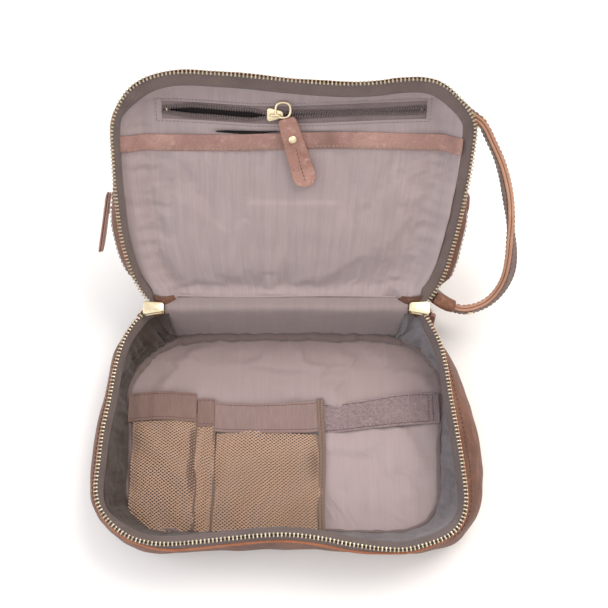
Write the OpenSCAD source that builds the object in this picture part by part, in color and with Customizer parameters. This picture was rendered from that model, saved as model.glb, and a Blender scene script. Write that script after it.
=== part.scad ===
// Clamshell toiletry bag, open: a deep leather tray on its base and a shallow
// lid leaning back on a leather spine, closed by a metal zip with two sliders.
// Millimetres. Origin at the centre of the base underside, X right, -Y front, Z up.
// The lid is drawn closed over the tray and then turned open about the spine.

/* [Body] */
// Width of the leather body from side to side
body_w = 258; // [244:1:276]
// Distance from the origin to the front of the base
front_y = 90; // [84:1:98]
// Distance from the origin to the back of the base
back_y = 88; // [84:1:92]
// Plan radius of the two front corners
front_r = 44; // [36:1:50]
// Plan radius of the two back corners
back_r = 40; // [34:1:44]
// Height of the tray from the floor to the rim plane
tray_h = 46; // [44:1:58]
// Depth of the lid from the rim plane to its outer face
lid_d = 22; // [21:1:30]
// Angle that the lid stands open, measured from closed
open_deg = 130; // [95:1:150]

/* [Leather and lining] */
// Thickness of the leather
leather_t = 1.8; // [1.4:0.1:1.8]
// Thickness of the lining cloth
lining_t = 1.0; // [0.6:0.1:1.0]
// Half width of the leather spine between the two zip ends
spine_half = 90.4; // [84:0.2:90.4]

/* [Main zip] */
// Width of one row of metal teeth, across the rim
teeth_w = 2.4; // [1.8:0.1:2.4]
// Angle round the back corner where each slider parks
slider_park = 13; // [12:1:20]

/* [Inner zipped pocket] */
// Left end of the pocket window
win_x0 = -87; // [-95:1:-80]
// Right end of the pocket window
win_x1 = 98; // [90:1:102]
// Distance from the hinge to the lower edge of the pocket window
win_l0 = 140; // [138:1:142]
// Position of the pocket slider along the zip
slider_x = -8; // [-60:1:60]

/* [Pulls] */
// Width of a leather pull at its top
pull_w = 13; // [10:0.5:13]
// Length of the inner leather pull
pull_len = 50; // [36:1:50]
// Sideways lean of the inner leather pull
pull_lean = 18; // [0:1:22]

/* [Hanging strap] */
// How far the strap bows out from the line through its two ends
strap_bow = 31; // [29:1:40]
// Width of the strap
strap_w = 19; // [15:0.5:19]
// Thickness of the doubled strap
strap_t = 5; // [3.5:0.5:5.5]

/* [Tray organiser] */
// Height of the elastic bands, laid on the floor
band_h = 23; // [16:1:26]
// Distance from the hinge to the front edge of the nets
net_l1 = 156; // [140:1:158]

/* [Hidden] */
$fn = 96;

leather = [0.37, 0.22, 0.16];
leather_edge = [0.72, 0.42, 0.26];
cloth = [0.52, 0.45, 0.44];
board_col = [0.3, 0.28, 0.26];
binding_col = [0.32, 0.24, 0.23];
tape_col = [0.25, 0.18, 0.17];
brass = [0.66, 0.56, 0.36];
net_col = [0.50, 0.38, 0.29];
net_tape_col = [0.40, 0.29, 0.24];
elastic_col = [0.45, 0.34, 0.33];
loop_band_col = [0.50, 0.38, 0.39];
stitch_col = [0.32, 0.12, 0.14];
bag_col = [0.2, 0.17, 0.17];
coil_col = [0.14, 0.1, 0.1];

hinge_y = back_y + 0.6;
hinge_z = tray_h;
half_w = body_w / 2;
panel_gap = 1.85;          // from an outer face to the first level inside its leather

// Insets from the plan outline: [outer, inner].
leather_inset = [0, leather_t];
piping_inset = [0.2, leather_t];
teeth_inset = [1.2, 1.2 + teeth_w];
tape_inset = [1.9, 2.9];
wall_lining_inset = [1.9, 1.9 + lining_t];
spine_lining_inset = [2.0, 2.9];

// Distances from the rim plane, the same in tray and lid: [near, far].
rim_teeth = [0.5, 1.95];
rim_tape = [2, 9.9];
rim_piping = [3, 4.95];
gusset_start = 5;
lining_start = 10;
spine_start = 0.4;
spine_lining_start = 0.6;

// Half widths of the openings at the back, round the spine.
gusset_gap = spine_half + 0.2;
lid_zip_gap = spine_half + 14;
lining_gap = 90.2;
spine_lining_half = 90;

// ---- ranges, boxes and plan shapes -----------------------------------------
// A range is [from, to]. l is distance from the hinge, towards the front when
// closed; d is depth into the lid from the rim plane.

function shift(range, by) = [range[0] + by, range[1] + by];
function shrink(range, by) = [range[0] + by, range[1] - by];
function span(centre, reach) = [centre - reach, centre + reach];
function below_rim(range) = [tray_h - range[1], tray_h - range[0]];
function above_rim(range) = shift(range, hinge_z);

module box(x, y, z)
  translate([x[0], y[0], z[0]])
    cube([x[1] - x[0], y[1] - y[0], z[1] - z[0]]);

module hinge_box(x, l, z) box(x, [hinge_y - l[1], hinge_y - l[0]], z);

module lid_box(x, l, d) hinge_box(x, l, above_rim(d));

// Frame at a point, with its Z axis turned to run along +X.
module along_x(x, l, z)
  translate([x, hinge_y - l, z]) rotate([0, 90, 0]) children();

// The rounded plan of the bag, pulled in by inset on every side.
module plan(inset) {
  w = half_w - inset;
  y0 = -front_y + inset;
  y1 = back_y - inset;
  rf = front_r - inset;
  rb = back_r - inset;
  union() {
    translate([-w, y0 + rf]) square([2 * w, y1 - rb - y0 - rf]);
    translate([-w + rf, y0]) square([2 * (w - rf), 60]);
    translate([-w + rb, 0]) square([2 * (w - rb), y1]);
    for (s = [-1, 1]) {
      translate([s * (w - rf), y0 + rf]) circle(r = rf);
      translate([s * (w - rb), y1 - rb]) circle(r = rb);
    }
  }
}

module raise(z)
  translate([0, 0, z[0]]) linear_extrude(z[1] - z[0]) children();

// A wall that follows the plan between two insets and two levels.
module wall(inset, z) raise(z) difference() {
  plan(inset[0]);
  plan(inset[1]);
}

// The same wall, open at the back between -gap and +gap.
module open_wall(inset, z, gap) difference() {
  wall(inset, z);
  box([-gap, gap], [40, 100], [z[0] - 1, z[1] + 1]);
}

// The straight piece of wall at the back.
module back_wall(reach, inset, z)
  box([-reach, reach], [back_y - inset[1], back_y - inset[0]], z);

module sheet(inset, z) raise(z) plan(inset);

// A sheet kept between two distances from the hinge.
module band_sheet(inset, z, l) raise(z) intersection() {
  plan(inset);
  translate([-200, hinge_y - l[1]]) square([400, l[1] - l[0]]);
}

// Lid features: drawn closed, then turned open about the spine.
module lid_pose()
  translate([0, hinge_y, hinge_z]) rotate([-open_deg, 0, 0])
    translate([0, -hinge_y, -hinge_z]) children();

// ---- rivets, sliders and wire loops ----------------------------------------

rivet_hole_r = 1.55;       // hole for a pull rivet

module disc(r, z) translate([0, 0, z[0]]) cylinder(r = r, h = z[1] - z[0]);

// A shank along Z with a head at each end.
module rivet(shank_r, shank, head_r, heads) {
  disc(shank_r, shank);
  for (z = heads) disc(head_r, z);
}
module pull_rivet(shank, head_r, heads) rivet(1.5, shank, head_r, heads);

// A flat slider body with a bridge on two cheeks, drawn in the lid.
// body is [half width, half length]; the other sizes are x reach and d ranges.
module lid_slider(x, l, body, body_d, bridge_reach, cheek_d, bridge_d) {
  cheek_t = 1.4;
  bridge_l = span(l, 1.5);
  lid_box(span(x, body[0]), span(l, body[1]), body_d);
  for (start = [-bridge_reach, bridge_reach - cheek_t])
    lid_box([x + start, x + start + cheek_t], bridge_l, cheek_d);
  lid_box(span(x, bridge_reach), bridge_l, bridge_d);
}

module rod(start, end, r) {
  run = end - start;
  translate(start) rotate([0, acos(run[2] / norm(run)), atan2(run[1], run[0])])
    cylinder(r = r, h = norm(run));
}

// A rectangular wire loop in the lid at depth d, rounded at each corner.
module wire_loop(x, l, d) {
  wire_r = 1.0;
  corners = [for (q = [[x[0], l[0]], [x[0], l[1]], [x[1], l[1]], [x[1], l[0]]])
    [q[0], hinge_y - q[1], hinge_z + d]];
  for (i = [0:3]) {
    rod(corners[i], corners[(i + 1) % 4], wire_r);
    translate(corners[i]) sphere(r = wire_r);
  }
}

// ---- tray ------------------------------------------------------------------

floor_inset = 3.0;         // inset of the base board and floor lining
floor_top = 4.15;          // level that the binding and nets lie on

module base_panel() color(leather) sheet(0, [0, leather_t]);

module base_board() color(board_col) sheet(floor_inset, [panel_gap + 0.05, 3.2]);

module tray_gusset() color(leather)
  open_wall(leather_inset, [panel_gap, tray_h - gusset_start], gusset_gap);

module tray_rim_piping() color(leather_edge)
  open_wall(piping_inset, below_rim(rim_piping), gusset_gap);

module tray_spine() color(leather)
  back_wall(spine_half, leather_inset, [panel_gap, tray_h - spine_start]);

module tray_floor_lining() color(cloth) sheet(floor_inset, [3.3, 4.1]);

module tray_wall_lining() color(cloth)
  open_wall(wall_lining_inset, [panel_gap + 0.05, tray_h - lining_start], lining_gap);

module tray_spine_lining() color(cloth)
  back_wall(spine_lining_half, spine_lining_inset,
            [4.2, tray_h - spine_lining_start]);

module tray_floor_binding() color(binding_col)
  wall([4.6, 7.6], [floor_top, 7.0]);

module tray_zip_tape() color(tape_col)
  open_wall(tape_inset, below_rim(rim_tape), spine_half + 1.2);

module tray_zip_teeth() color(brass)
  open_wall(teeth_inset, below_rim(rim_teeth), spine_half + 2.6);

module zip_bottom_stops() color(brass)
  for (s = [-1, 1])
    box(span(s * (spine_half + 1.4), 0.9), [back_y - 3.6, back_y - 1.4],
        below_rim(rim_teeth));

// ---- tray organiser --------------------------------------------------------

// X limits of the three bays, left to right.
left_bay_x1 = -67.2;
pen_bay_x = [-66.8, -53.2];
centre_bay_x0 = -52.8;

net_edge = 0.7;            // width of a net's low edges
band_l0 = 57;              // back edge of the centre and right bands
stitch_w = 0.6;

// Net laid over the floor: a panel with three low edges, open at its back.
module net(x, l0) difference() {
  hinge_box(x, [l0, net_l1], [floor_top, floor_top + 2.3]);
  hinge_box(shrink(x, net_edge), [l0 - net_edge, net_l1 - net_edge], [3, 5.9]);
}
module mesh_pocket_left() color(net_col) net([-108, left_bay_x1], 74);
module mesh_pocket_pen() color(net_col) net(pen_bay_x, 77);
module mesh_pocket_centre() color(net_col) net([centre_bay_x0, 23.4], 80.6);
module mesh_edge_tape() color(net_tape_col)
  hinge_box([23.6, 27.2], [81, net_l1], [floor_top, floor_top + 1.8]);

// Elastic band, with a rolled seam along each long edge.
module elastic(x, l0, h) {
  hinge_box(x, [l0, l0 + h], [4.9, 6.2]);
  for (seam = [1.4, h - 1.4])
    along_x(x[0], l0 + seam, 6.0) cylinder(r = 0.6, h = x[1] - x[0]);
}
module elastic_left() color(elastic_col) elastic([-117, left_bay_x1], 50.5, band_h);
module elastic_pen() color(elastic_col) elastic(pen_bay_x, 54, band_h - 0.5);
module elastic_centre() color(elastic_col)
  elastic([centre_bay_x0, 25.6], band_l0, band_h);

module loop_band_right() color(loop_band_col)
  hinge_box([28.2, 112.2], [band_l0, band_l0 + band_h], [4.3, 6.0]);

// Two rows across the band near its right end and one along each long edge.
module loop_band_stitching() color(stitch_col) {
  stitch_z = [6.05, 6.45];
  for (x = [106.4, 109.4])
    hinge_box([x, x + stitch_w], shrink([band_l0, band_l0 + band_h], 0.6), stitch_z);
  for (l = [band_l0 + 1.2, band_l0 + band_h - 1.2 - stitch_w])
    hinge_box([30, 105], [l, l + stitch_w], stitch_z);
}

// ---- lid -------------------------------------------------------------------

outer_zip_l = 74;          // line of the outer zip
outer_slot_x = [-120, 122];
win_x = [win_x0, win_x1];
win_h = 12.4;              // height of the pocket window
win_l = [win_l0, win_l0 + win_h];
coil_l = win_l0 + win_h / 2;
coil_d = [15.9, 17.05];
lining_d = [17, 17.5];
pocket_inset = 3.1;        // inset of the slip pocket

module lid_panel() color(leather) lid_pose() difference() {
  sheet(0, above_rim([lid_d - leather_t, lid_d]));
  lid_box(outer_slot_x, span(outer_zip_l, 6), span(lid_d, 5));
}
module lid_board() color(board_col) lid_pose()
  sheet(2.0, above_rim([lid_d - 2.8, lid_d - 2.0]));
module lid_gusset() color(leather) lid_pose()
  open_wall(leather_inset, above_rim([gusset_start, lid_d - panel_gap]), gusset_gap);
module lid_rim_piping() color(leather_edge) lid_pose()
  open_wall(piping_inset, above_rim(rim_piping), lid_zip_gap);
module lid_spine() color(leather) lid_pose()
  back_wall(spine_half, leather_inset, above_rim([spine_start, lid_d - panel_gap]));

module lid_lining() color(cloth) lid_pose() difference() {
  sheet(1.95, above_rim(lining_d));
  lid_box(win_x, win_l, [10, 20]);
}
module lid_gusset_lining() color(cloth) lid_pose()
  open_wall(tape_inset, above_rim([lining_start, 16.95]), lining_gap);
module lid_spine_lining() color(cloth) lid_pose()
  back_wall(spine_lining_half, spine_lining_inset,
            above_rim([spine_lining_start, 16.9]));

module slip_pocket_panel() color(cloth) lid_pose()
  band_sheet(pocket_inset, above_rim([15.9, 16.3]), [4, 118]);
module slip_pocket_trim() color(leather) lid_pose()
  band_sheet(pocket_inset, above_rim([15.2, 16.6]), [118.05, 129]);

module inner_pocket_bag() color(bag_col) lid_pose()
  lid_box([-92, 102], [40, 158], [18.0, 18.4]);
module inner_zip_tape() color(tape_col) lid_pose() difference() {
  lid_box(shrink(win_x, 0.1), shrink(win_l, 0.1), [17.1, 17.5]);
  lid_box(shrink(win_x, 5), span(coil_l, 1), [16, 19]);
}
module inner_zip_coil() color(coil_col) lid_pose()
  for (row = [-2.3, 1.1])
    lid_box(shrink(win_x, 4.6), shift([row, row + 1.2], coil_l), coil_d);
module inner_zip_stops() color(brass) lid_pose()
  for (x = [win_x0 + 2.6, win_x1 - 4.4])
    lid_box([x, x + 1.8], span(coil_l, 2.6), [15.5, 17.05]);

module lid_zip_tape() color(tape_col) lid_pose()
  open_wall(tape_inset, above_rim(rim_tape), lid_zip_gap);
module lid_zip_teeth() color(brass) lid_pose()
  open_wall(teeth_inset, above_rim(rim_teeth), lid_zip_gap);

module outer_zip_tape() color(tape_col) lid_pose()
  lid_box(shrink(outer_slot_x, 0.1), span(outer_zip_l, 5.9),
          [lid_d - 1.9, lid_d - 1.2]);
module outer_zip_teeth() color(brass) lid_pose()
  for (row = [-1.6, 0.1])
    lid_box(shrink(outer_slot_x, 4), shift([row, row + 1.5], outer_zip_l),
            [lid_d - 1.15, lid_d + 0.4]);
// Leather tab over the right end of the outer zip.
module outer_zip_tab() color(leather) lid_pose()
  lid_box([119.5, half_w + 5], span(outer_zip_l, 9), [lid_d + 0.05, lid_d + 2.4]);

// ---- strap: frame with +X from rear end to front end, +Y outward ------------

// Strap ends beside the right wall of the lid: [x, distance from the hinge].
strap_front = [133.5, 148];
strap_rear = [126.5, 9.5];
strap_mid = (strap_front + strap_rear) / 2;
strap_run = strap_front - strap_rear;
strap_reach = norm(strap_run) / 2;
strap_r = (strap_reach * strap_reach + strap_bow * strap_bow) / (2 * strap_bow);

module strap_frame() lid_pose()
  translate([strap_mid[0], hinge_y - strap_mid[1], hinge_z + 12])
    rotate([0, 0, -atan2(strap_run[1], strap_run[0])]) children();

// Block with a pin hole, trimmed to the side of the lid. side: 1 front, -1 rear.
module strap_anchor(side) color(leather) difference() {
  anchor_x = side * (strap_reach + 1);
  strap_frame() difference() {
    box(span(anchor_x, 2.8), [-14, 3.6], [-8, 8]);
    translate([anchor_x - 4, 0, 0]) rotate([0, 90, 0]) cylinder(r = 2.45, h = 8);
  }
  lid_pose() raise([hinge_z - 10, hinge_z + 50]) plan(-0.05);
}
module strap_anchor_front() strap_anchor(1);
module strap_anchor_rear() strap_anchor(-1);

// Frame of the rivet near one end: Z outward, from the strap's inner face.
module strap_rivet_frame(side)
  translate([0, strap_bow - strap_r, 0]) rotate([0, 0, -side * 36])
    translate([0, strap_r - strap_t / 2, 0]) rotate([-90, 0, 0]) children();

// Bowed strap, with a block and an anchor pin at each end.
module hanging_strap() color(leather) strap_frame() difference() {
  union() {
    translate([0, 0, -strap_w / 2]) linear_extrude(strap_w) intersection() {
      translate([0, strap_bow - strap_r]) difference() {
        circle(r = strap_r + strap_t / 2, $fn = 180);
        circle(r = strap_r - strap_t / 2, $fn = 180);
      }
      translate([-100, 6]) square([200, 80]);
    }
    for (side = [-1, 1]) {
      box(span(side * (strap_reach - 5.2), 2.8), [0, 8.5], [-4, 4]);
      translate([side * (strap_reach - 2) - 6, 0, 0]) rotate([0, 90, 0])
        cylinder(r = 2.4, h = 12);
    }
  }
  for (side = [-1, 1]) strap_rivet_frame(side) disc(1.05, [-1, strap_t + 1]);
}
module strap_rivets() color(brass) strap_frame()
  for (side = [-1, 1])
    strap_rivet_frame(side)
      rivet(1.0, [-0.9, strap_t + 0.9], 2.6,
            [[-0.9, -0.05], [strap_t + 0.05, strap_t + 0.9]]);

// ---- inner zip pull --------------------------------------------------------

ring_x = slider_x + 1.4;   // left side of the ring
ring_d = 12.4;
pull_l = win_l0 + 1.2;     // line the inner pull hangs from
inner_rivet_at = [3.4, -12.5, 0];

module inner_slider() color(brass) lid_pose()
  lid_slider(x = slider_x, l = coil_l, body = [4.5, 4], body_d = [13.9, 15.7],
             bridge_reach = 4, cheek_d = [10, 14], bridge_d = [10, 10.9]);
module inner_pull_ring() color(brass) lid_pose()
  wire_loop([ring_x, ring_x + 10], [pull_l, coil_l + 5], ring_d);

// Frame on the ring's lower bar, with -Y towards the hinge.
module inner_pull_frame() lid_pose()
  translate([ring_x + 6, hinge_y - pull_l, hinge_z + ring_d])
    mirror([0, 1, 0]) children();

// Outline of the pull: pull_w wide at the top, wider and round at the end.
module pull_outline() rotate(pull_lean) union() {
  top = pull_w / 2;
  end_y = -pull_len + top;
  polygon([[-top, 2], [top, 2], [top + 1.5, end_y + 2], [-top - 1.5, end_y + 2]]);
  translate([0, end_y + 1.6]) circle(r = top + 1.6);
}
module inner_pull_tab() color(leather) inner_pull_frame() difference() {
  union() {
    translate([-2.6, 0, 0]) rotate([0, 90, 0]) cylinder(r = 2.4, h = 5.2);
    raise([-1.6, 1.6]) difference() {
      translate([0, -2.6]) pull_outline();
      translate([-30, -2.6]) square([60, 20]);
    }
    box([-2.6, 2.6], [-3.2, 0], [-1.6, 1.6]);
  }
  translate([-40, 0, 0]) rotate([0, 90, 0]) cylinder(r = 1.05, h = 80);
  translate(inner_rivet_at) disc(rivet_hole_r, [-4, 4]);
}
module inner_pull_rivet() color(brass) inner_pull_frame()
  translate(inner_rivet_at)
    pull_rivet([-2.4, 2.4], 2.9, [[-2.5, -1.65], [1.65, 2.4]]);

// ---- outer zip pull --------------------------------------------------------

outer_x = -122;            // centre of the outer slider
outer_ring_d = lid_d + 3.8;
outer_ring_reach = 5.5;    // half the ring's length, away from the zip line
outer_tab_d = lid_d + 7.7; // mid depth of the pull
outer_tab_r = 6.8;
outer_tab_x = outer_x - 10.8;
outer_tab_t = 3;
outer_tab_end_l = outer_zip_l - 41;
outer_rivet_l = outer_zip_l - 14;

module outer_slider() color(brass) lid_pose()
  lid_slider(x = outer_x, l = outer_zip_l, body = [5, 4.2],
             body_d = [lid_d + 0.5, lid_d + 2.2], bridge_reach = 3.8,
             cheek_d = [lid_d + 2.1, lid_d + 6.2],
             bridge_d = [lid_d + 5.3, lid_d + 6.2]);
module outer_pull_ring() color(brass) lid_pose()
  wire_loop([outer_x - 1, outer_x - 12.5], span(outer_zip_l, outer_ring_reach),
            outer_ring_d);
module outer_pull_tab() color(leather) lid_pose() difference() {
  union() {
    lid_box([outer_tab_x, outer_tab_x + outer_tab_t],
            [outer_tab_end_l, outer_zip_l - 2.6], span(outer_tab_d, outer_tab_r));
    along_x(outer_tab_x, outer_tab_end_l, hinge_z + outer_tab_d)
      cylinder(r = outer_tab_r, h = outer_tab_t);
  }
  along_x(outer_x - 20, outer_zip_l - outer_ring_reach, hinge_z + outer_ring_d)
    cylinder(r = 1.08, h = 20);
  along_x(outer_x - 20, outer_rivet_l, hinge_z + outer_tab_d)
    cylinder(r = rivet_hole_r, h = 20);
}
module outer_pull_rivet() color(brass) lid_pose()
  along_x(outer_tab_x + outer_tab_t / 2, outer_rivet_l, hinge_z + outer_tab_d)
    pull_rivet([-2.2, 2.2], 2.9, [[-2.4, -1.55], [1.55, 2.4]]);

// ---- main sliders: frame on a back corner, +Y outward, +X away from middle --
// side: -1 left, 1 right.

teeth_out = back_r - teeth_inset[0];   // outer face of the teeth on the corner
teeth_in = back_r - teeth_inset[1];    // inner face
pivot_x = 4;
pivot_z = tray_h - 4;
ring_y = [teeth_out + 2.4, teeth_out + 3.6];
main_tab_x = 8.7;                      // centre line of the pull
main_tab_r = 5.5;
main_tab_z = 10;                       // centre of the round lower end
main_rivet_z = 24;

module corner(side) mirror([side < 0 ? 1 : 0, 0, 0])
  translate([half_w - back_r, back_y - back_r, 0]) rotate([0, 0, -slider_park])
    children();

// Frame at a point, with its Z axis turned to run outward.
module outward(x, y, z) translate([x, y, z]) rotate([-90, 0, 0]) children();

// Two side plates joined across the top, with a lug and pivot pin outside.
module main_slider(side) color(brass) corner(side) {
  x = [-6, 6];
  outer_y = teeth_out + 1.75;
  inner_y = teeth_in - 2.6;
  top_z = tray_h + 0.2;
  box(x, [teeth_out + 0.25, outer_y], [tray_h - 2.7, top_z]);
  box(x, [inner_y, teeth_in - 0.9], [tray_h - 2.7, top_z]);
  box(x, [inner_y, outer_y], [tray_h - 0.4, top_z]);
  box([2, 6], [teeth_out + 1.55, teeth_out + 2.15], [pivot_z - 1.6, pivot_z + 2.9]);
  outward(pivot_x, teeth_out + 1.7, pivot_z) cylinder(r = 1.1, h = 3.6);
}
// Eye on the pivot pin, a short stem below it and a foot to one side.
module main_pull_ring(side) color(brass) corner(side) difference() {
  union() {
    outward(pivot_x, ring_y[0], pivot_z) cylinder(r = 2.6, h = 1.2);
    box([3, 5.2], ring_y, [pivot_z - 6.5, pivot_z - 1.5]);
    box([3, 14], ring_y, [pivot_z - 7.6, pivot_z - 6]);
  }
  outward(pivot_x, teeth_out, pivot_z) cylinder(r = 1.15, h = 8);
}
// Hanging leather pull, slotted for the ring's foot and stem.
module main_pull_tab(side) color(leather) corner(side) difference() {
  slot_y = [ring_y[0] - 0.05, ring_y[1] + 0.05];
  translate([0, teeth_out + 4.4, 0]) rotate([90, 0, 0]) linear_extrude(2.8) union() {
    translate([main_tab_x - main_tab_r, main_tab_z])
      square([2 * main_tab_r, pivot_z - 15.2]);
    translate([main_tab_x, main_tab_z]) circle(r = main_tab_r);
  }
  box([2.9, 14.5], slot_y, [pivot_z - 7.7, pivot_z - 5.85]);
  box([2.9, 5.3], slot_y, [pivot_z - 7.7, pivot_z + 1.3]);
  outward(main_tab_x, teeth_out, main_rivet_z) cylinder(r = rivet_hole_r, h = 8);
}
module main_pull_rivet(side) color(brass) corner(side)
  outward(main_tab_x, teeth_out + 3, main_rivet_z)
    pull_rivet([-2.1, 2.1], 2.6, [[-2.2, -1.45], [1.45, 2.2]]);

module main_slider_left() main_slider(-1);
module main_slider_right() main_slider(1);
module main_pull_ring_left() main_pull_ring(-1);
module main_pull_ring_right() main_pull_ring(1);
module main_pull_tab_left() main_pull_tab(-1);
module main_pull_tab_right() main_pull_tab(1);
module main_pull_rivet_left() main_pull_rivet(-1);
module main_pull_rivet_right() main_pull_rivet(1);

base_panel();
base_board();
tray_gusset();
tray_rim_piping();
tray_spine();
tray_floor_lining();
tray_wall_lining();
tray_spine_lining();
tray_floor_binding();
tray_zip_tape();
tray_zip_teeth();
zip_bottom_stops();
mesh_pocket_left();
mesh_pocket_pen();
mesh_pocket_centre();
mesh_edge_tape();
elastic_left();
elastic_pen();
elastic_centre();
loop_band_right();
loop_band_stitching();
lid_panel();
lid_board();
lid_gusset();
lid_rim_piping();
lid_spine();
lid_lining();
lid_gusset_lining();
lid_spine_lining();
slip_pocket_panel();
slip_pocket_trim();
inner_pocket_bag();
inner_zip_tape();
inner_zip_coil();
inner_zip_stops();
lid_zip_tape();
lid_zip_teeth();
outer_zip_tape();
outer_zip_teeth();
outer_zip_tab();
strap_anchor_front();
strap_anchor_rear();
inner_slider();
inner_pull_ring();
inner_pull_tab();
inner_pull_rivet();
outer_slider();
outer_pull_ring();
outer_pull_tab();
outer_pull_rivet();
main_slider_left();
main_pull_ring_left();
main_pull_tab_left();
main_pull_rivet_left();
main_slider_right();
main_pull_ring_right();
main_pull_tab_right();
main_pull_rivet_right();
hanging_strap();
strap_rivets();
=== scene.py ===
"""Looks for an open clamshell leather toiletry bag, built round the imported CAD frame.

The tray lies on the floor, z up, x to the right, its front towards -y and the hinge across
its back. The open lid stands behind the hinge and leans back. Tray outlines are measured
from the hinge towards the front; lid shapes are given as x, distance up the lid from the
hinge, and depth behind the lid's rim. Lengths are millimetres until mesh data is made;
MM turns them to metres.
"""
import math

import bmesh
import bpy
import numpy as np
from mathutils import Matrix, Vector


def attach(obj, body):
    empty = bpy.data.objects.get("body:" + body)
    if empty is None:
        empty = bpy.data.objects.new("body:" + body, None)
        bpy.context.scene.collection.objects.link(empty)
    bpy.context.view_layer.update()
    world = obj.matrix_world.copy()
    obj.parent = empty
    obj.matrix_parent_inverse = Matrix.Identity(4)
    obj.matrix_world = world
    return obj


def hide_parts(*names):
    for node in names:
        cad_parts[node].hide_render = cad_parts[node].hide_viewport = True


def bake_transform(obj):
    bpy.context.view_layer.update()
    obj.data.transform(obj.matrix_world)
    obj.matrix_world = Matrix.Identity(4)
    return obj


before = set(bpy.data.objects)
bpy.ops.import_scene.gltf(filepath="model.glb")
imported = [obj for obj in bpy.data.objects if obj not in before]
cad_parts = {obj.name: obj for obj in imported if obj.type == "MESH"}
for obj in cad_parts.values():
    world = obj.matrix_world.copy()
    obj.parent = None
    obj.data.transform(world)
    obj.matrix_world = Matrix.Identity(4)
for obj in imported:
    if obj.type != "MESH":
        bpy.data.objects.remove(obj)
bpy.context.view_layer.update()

MM = 0.001
HINGE_Y, HINGE_Z = 88.6, 46.0
OPEN = math.radians(-130)
COS_OPEN, SIN_OPEN = math.cos(OPEN), math.sin(OPEN)
UP = np.array([0.0, 0.0, 1.0])


# ---- curves, waves and frames ------------------------------------------------

def lid(x, up, depth):
    """The world place of a point of the open lid."""
    x, up, depth = np.broadcast_arrays(*(np.asarray(v, float) for v in (x, up, depth)))
    return np.stack([x, HINGE_Y - up * COS_OPEN - depth * SIN_OPEN,
                     HINGE_Z - up * SIN_OPEN + depth * COS_OPEN], -1)


def from_lid(points):
    return lid(points[..., 0], points[..., 1], points[..., 2])


LID_X = np.array([1.0, 0.0, 0.0])
LID_UP = lid(0, 1, 0) - lid(0, 0, 0)
LID_BACK = lid(0, 0, 1) - lid(0, 0, 0)


def tray_y(from_hinge):
    return HINGE_Y - np.asarray(from_hinge, float)


def over_floor(x, from_hinge, z):
    """A point over the tray floor."""
    return np.stack(np.broadcast_arrays(np.asarray(x, float), tray_y(from_hinge), z), -1)


def with_z(plan, z):
    """Plan points given a third column, one value or one for each."""
    return np.column_stack([plan, np.broadcast_to(z, len(plan))])


def ease(t, start=0.0, end=1.0):
    """A smooth step from 0 at start to 1 at end; start may be the greater."""
    t = np.clip((np.asarray(t, float) - start) / (end - start), 0, 1)
    return t * t * (3 - 2 * t)


def bell(t, centre, width):
    return np.exp(-((np.asarray(t, float) - centre) / width) ** 2)


def noise(points, scale, seed):
    """Smooth wandering value in about -1..1, from a few fixed sine waves."""
    rng = np.random.RandomState(seed)
    points = np.asarray(points, float)
    total = np.zeros(points.shape[:-1])
    for _ in range(7):
        way = unit(rng.normal(size=points.shape[-1]))
        freq = 2 * math.pi / scale * rng.uniform(0.6, 1.7)
        total += np.sin(points @ way * freq + rng.uniform(0, 6.28)) * rng.uniform(0.5, 1)
    return total / 3.2


def unit(v):
    v = np.asarray(v, float)
    return v / np.maximum(np.linalg.norm(v, axis=-1, keepdims=True), 1e-12)


def arc_length(path):
    steps = np.linalg.norm(np.diff(path, axis=0), axis=1)
    return np.concatenate([[0], np.cumsum(steps)])


def sample(at, along, values):
    """Rows of values, known at along, read at other lengths."""
    return np.stack([np.interp(at, along, column) for column in values.T], -1)


def even(path, count):
    along = arc_length(path)
    return sample(np.linspace(0, along[-1], count), along, path)


def spline(points, count, closed=False):
    """count points, evenly spaced, along a centripetal Catmull-Rom curve."""
    p = np.asarray(points, float)
    if closed:
        padded = np.vstack([p[-1:], p, p[:2]])
    else:
        padded = np.vstack([2 * p[0] - p[1], p, 2 * p[-1] - p[-2]])
    pieces = []
    for a, b, c, d in zip(padded, padded[1:], padded[2:], padded[3:]):
        t1 = np.linalg.norm(b - a) ** 0.5 + 1e-6
        t2 = t1 + np.linalg.norm(c - b) ** 0.5 + 1e-6
        t3 = t2 + np.linalg.norm(d - c) ** 0.5 + 1e-6
        t = np.linspace(t1, t2, 24, endpoint=False)[:, None]
        ab = (t1 - t) / t1 * a + t / t1 * b
        bc = (t2 - t) / (t2 - t1) * b + (t - t1) / (t2 - t1) * c
        cd = (t3 - t) / (t3 - t2) * c + (t - t2) / (t3 - t2) * d
        abc = (t2 - t) / t2 * ab + t / t2 * bc
        bcd = (t3 - t) / (t3 - t1) * bc + (t - t1) / (t3 - t1) * cd
        pieces.append((t2 - t) / (t2 - t1) * abc + (t - t1) / (t2 - t1) * bcd)
    curve = np.vstack(pieces + [p[:1] if closed else p[-1:]])
    along = arc_length(curve)
    return sample(np.linspace(0, along[-1], count, endpoint=not closed), along, curve)


def tangents(p, closed=False):
    t = (np.roll(p, -1, 0) - np.roll(p, 1, 0)) if closed else np.gradient(p, axis=0)
    return t / np.maximum(np.linalg.norm(t, axis=1, keepdims=True), 1e-9)


def outward(path):
    """Outward direction in plan, for a loop that runs right, front, left."""
    t = tangents(path[:, :2])
    return np.column_stack([-t[:, 1], t[:, 0]])


def arc(cx, cy, radius, start, end, count):
    a = np.radians(np.linspace(start, end, count))
    return np.column_stack([cx + radius * np.cos(a), cy + radius * np.sin(a)])


def rounded(width, length, radius, count=8):
    """Outline of a rounded rectangle, centred."""
    cx, cy = width / 2 - radius, length / 2 - radius
    corners = ((cx, cy, 0), (-cx, cy, 90), (-cx, -cy, 180), (cx, -cy, 270))
    return np.vstack([arc(x, y, radius, a, a + 90, count) for x, y, a in corners])


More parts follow.
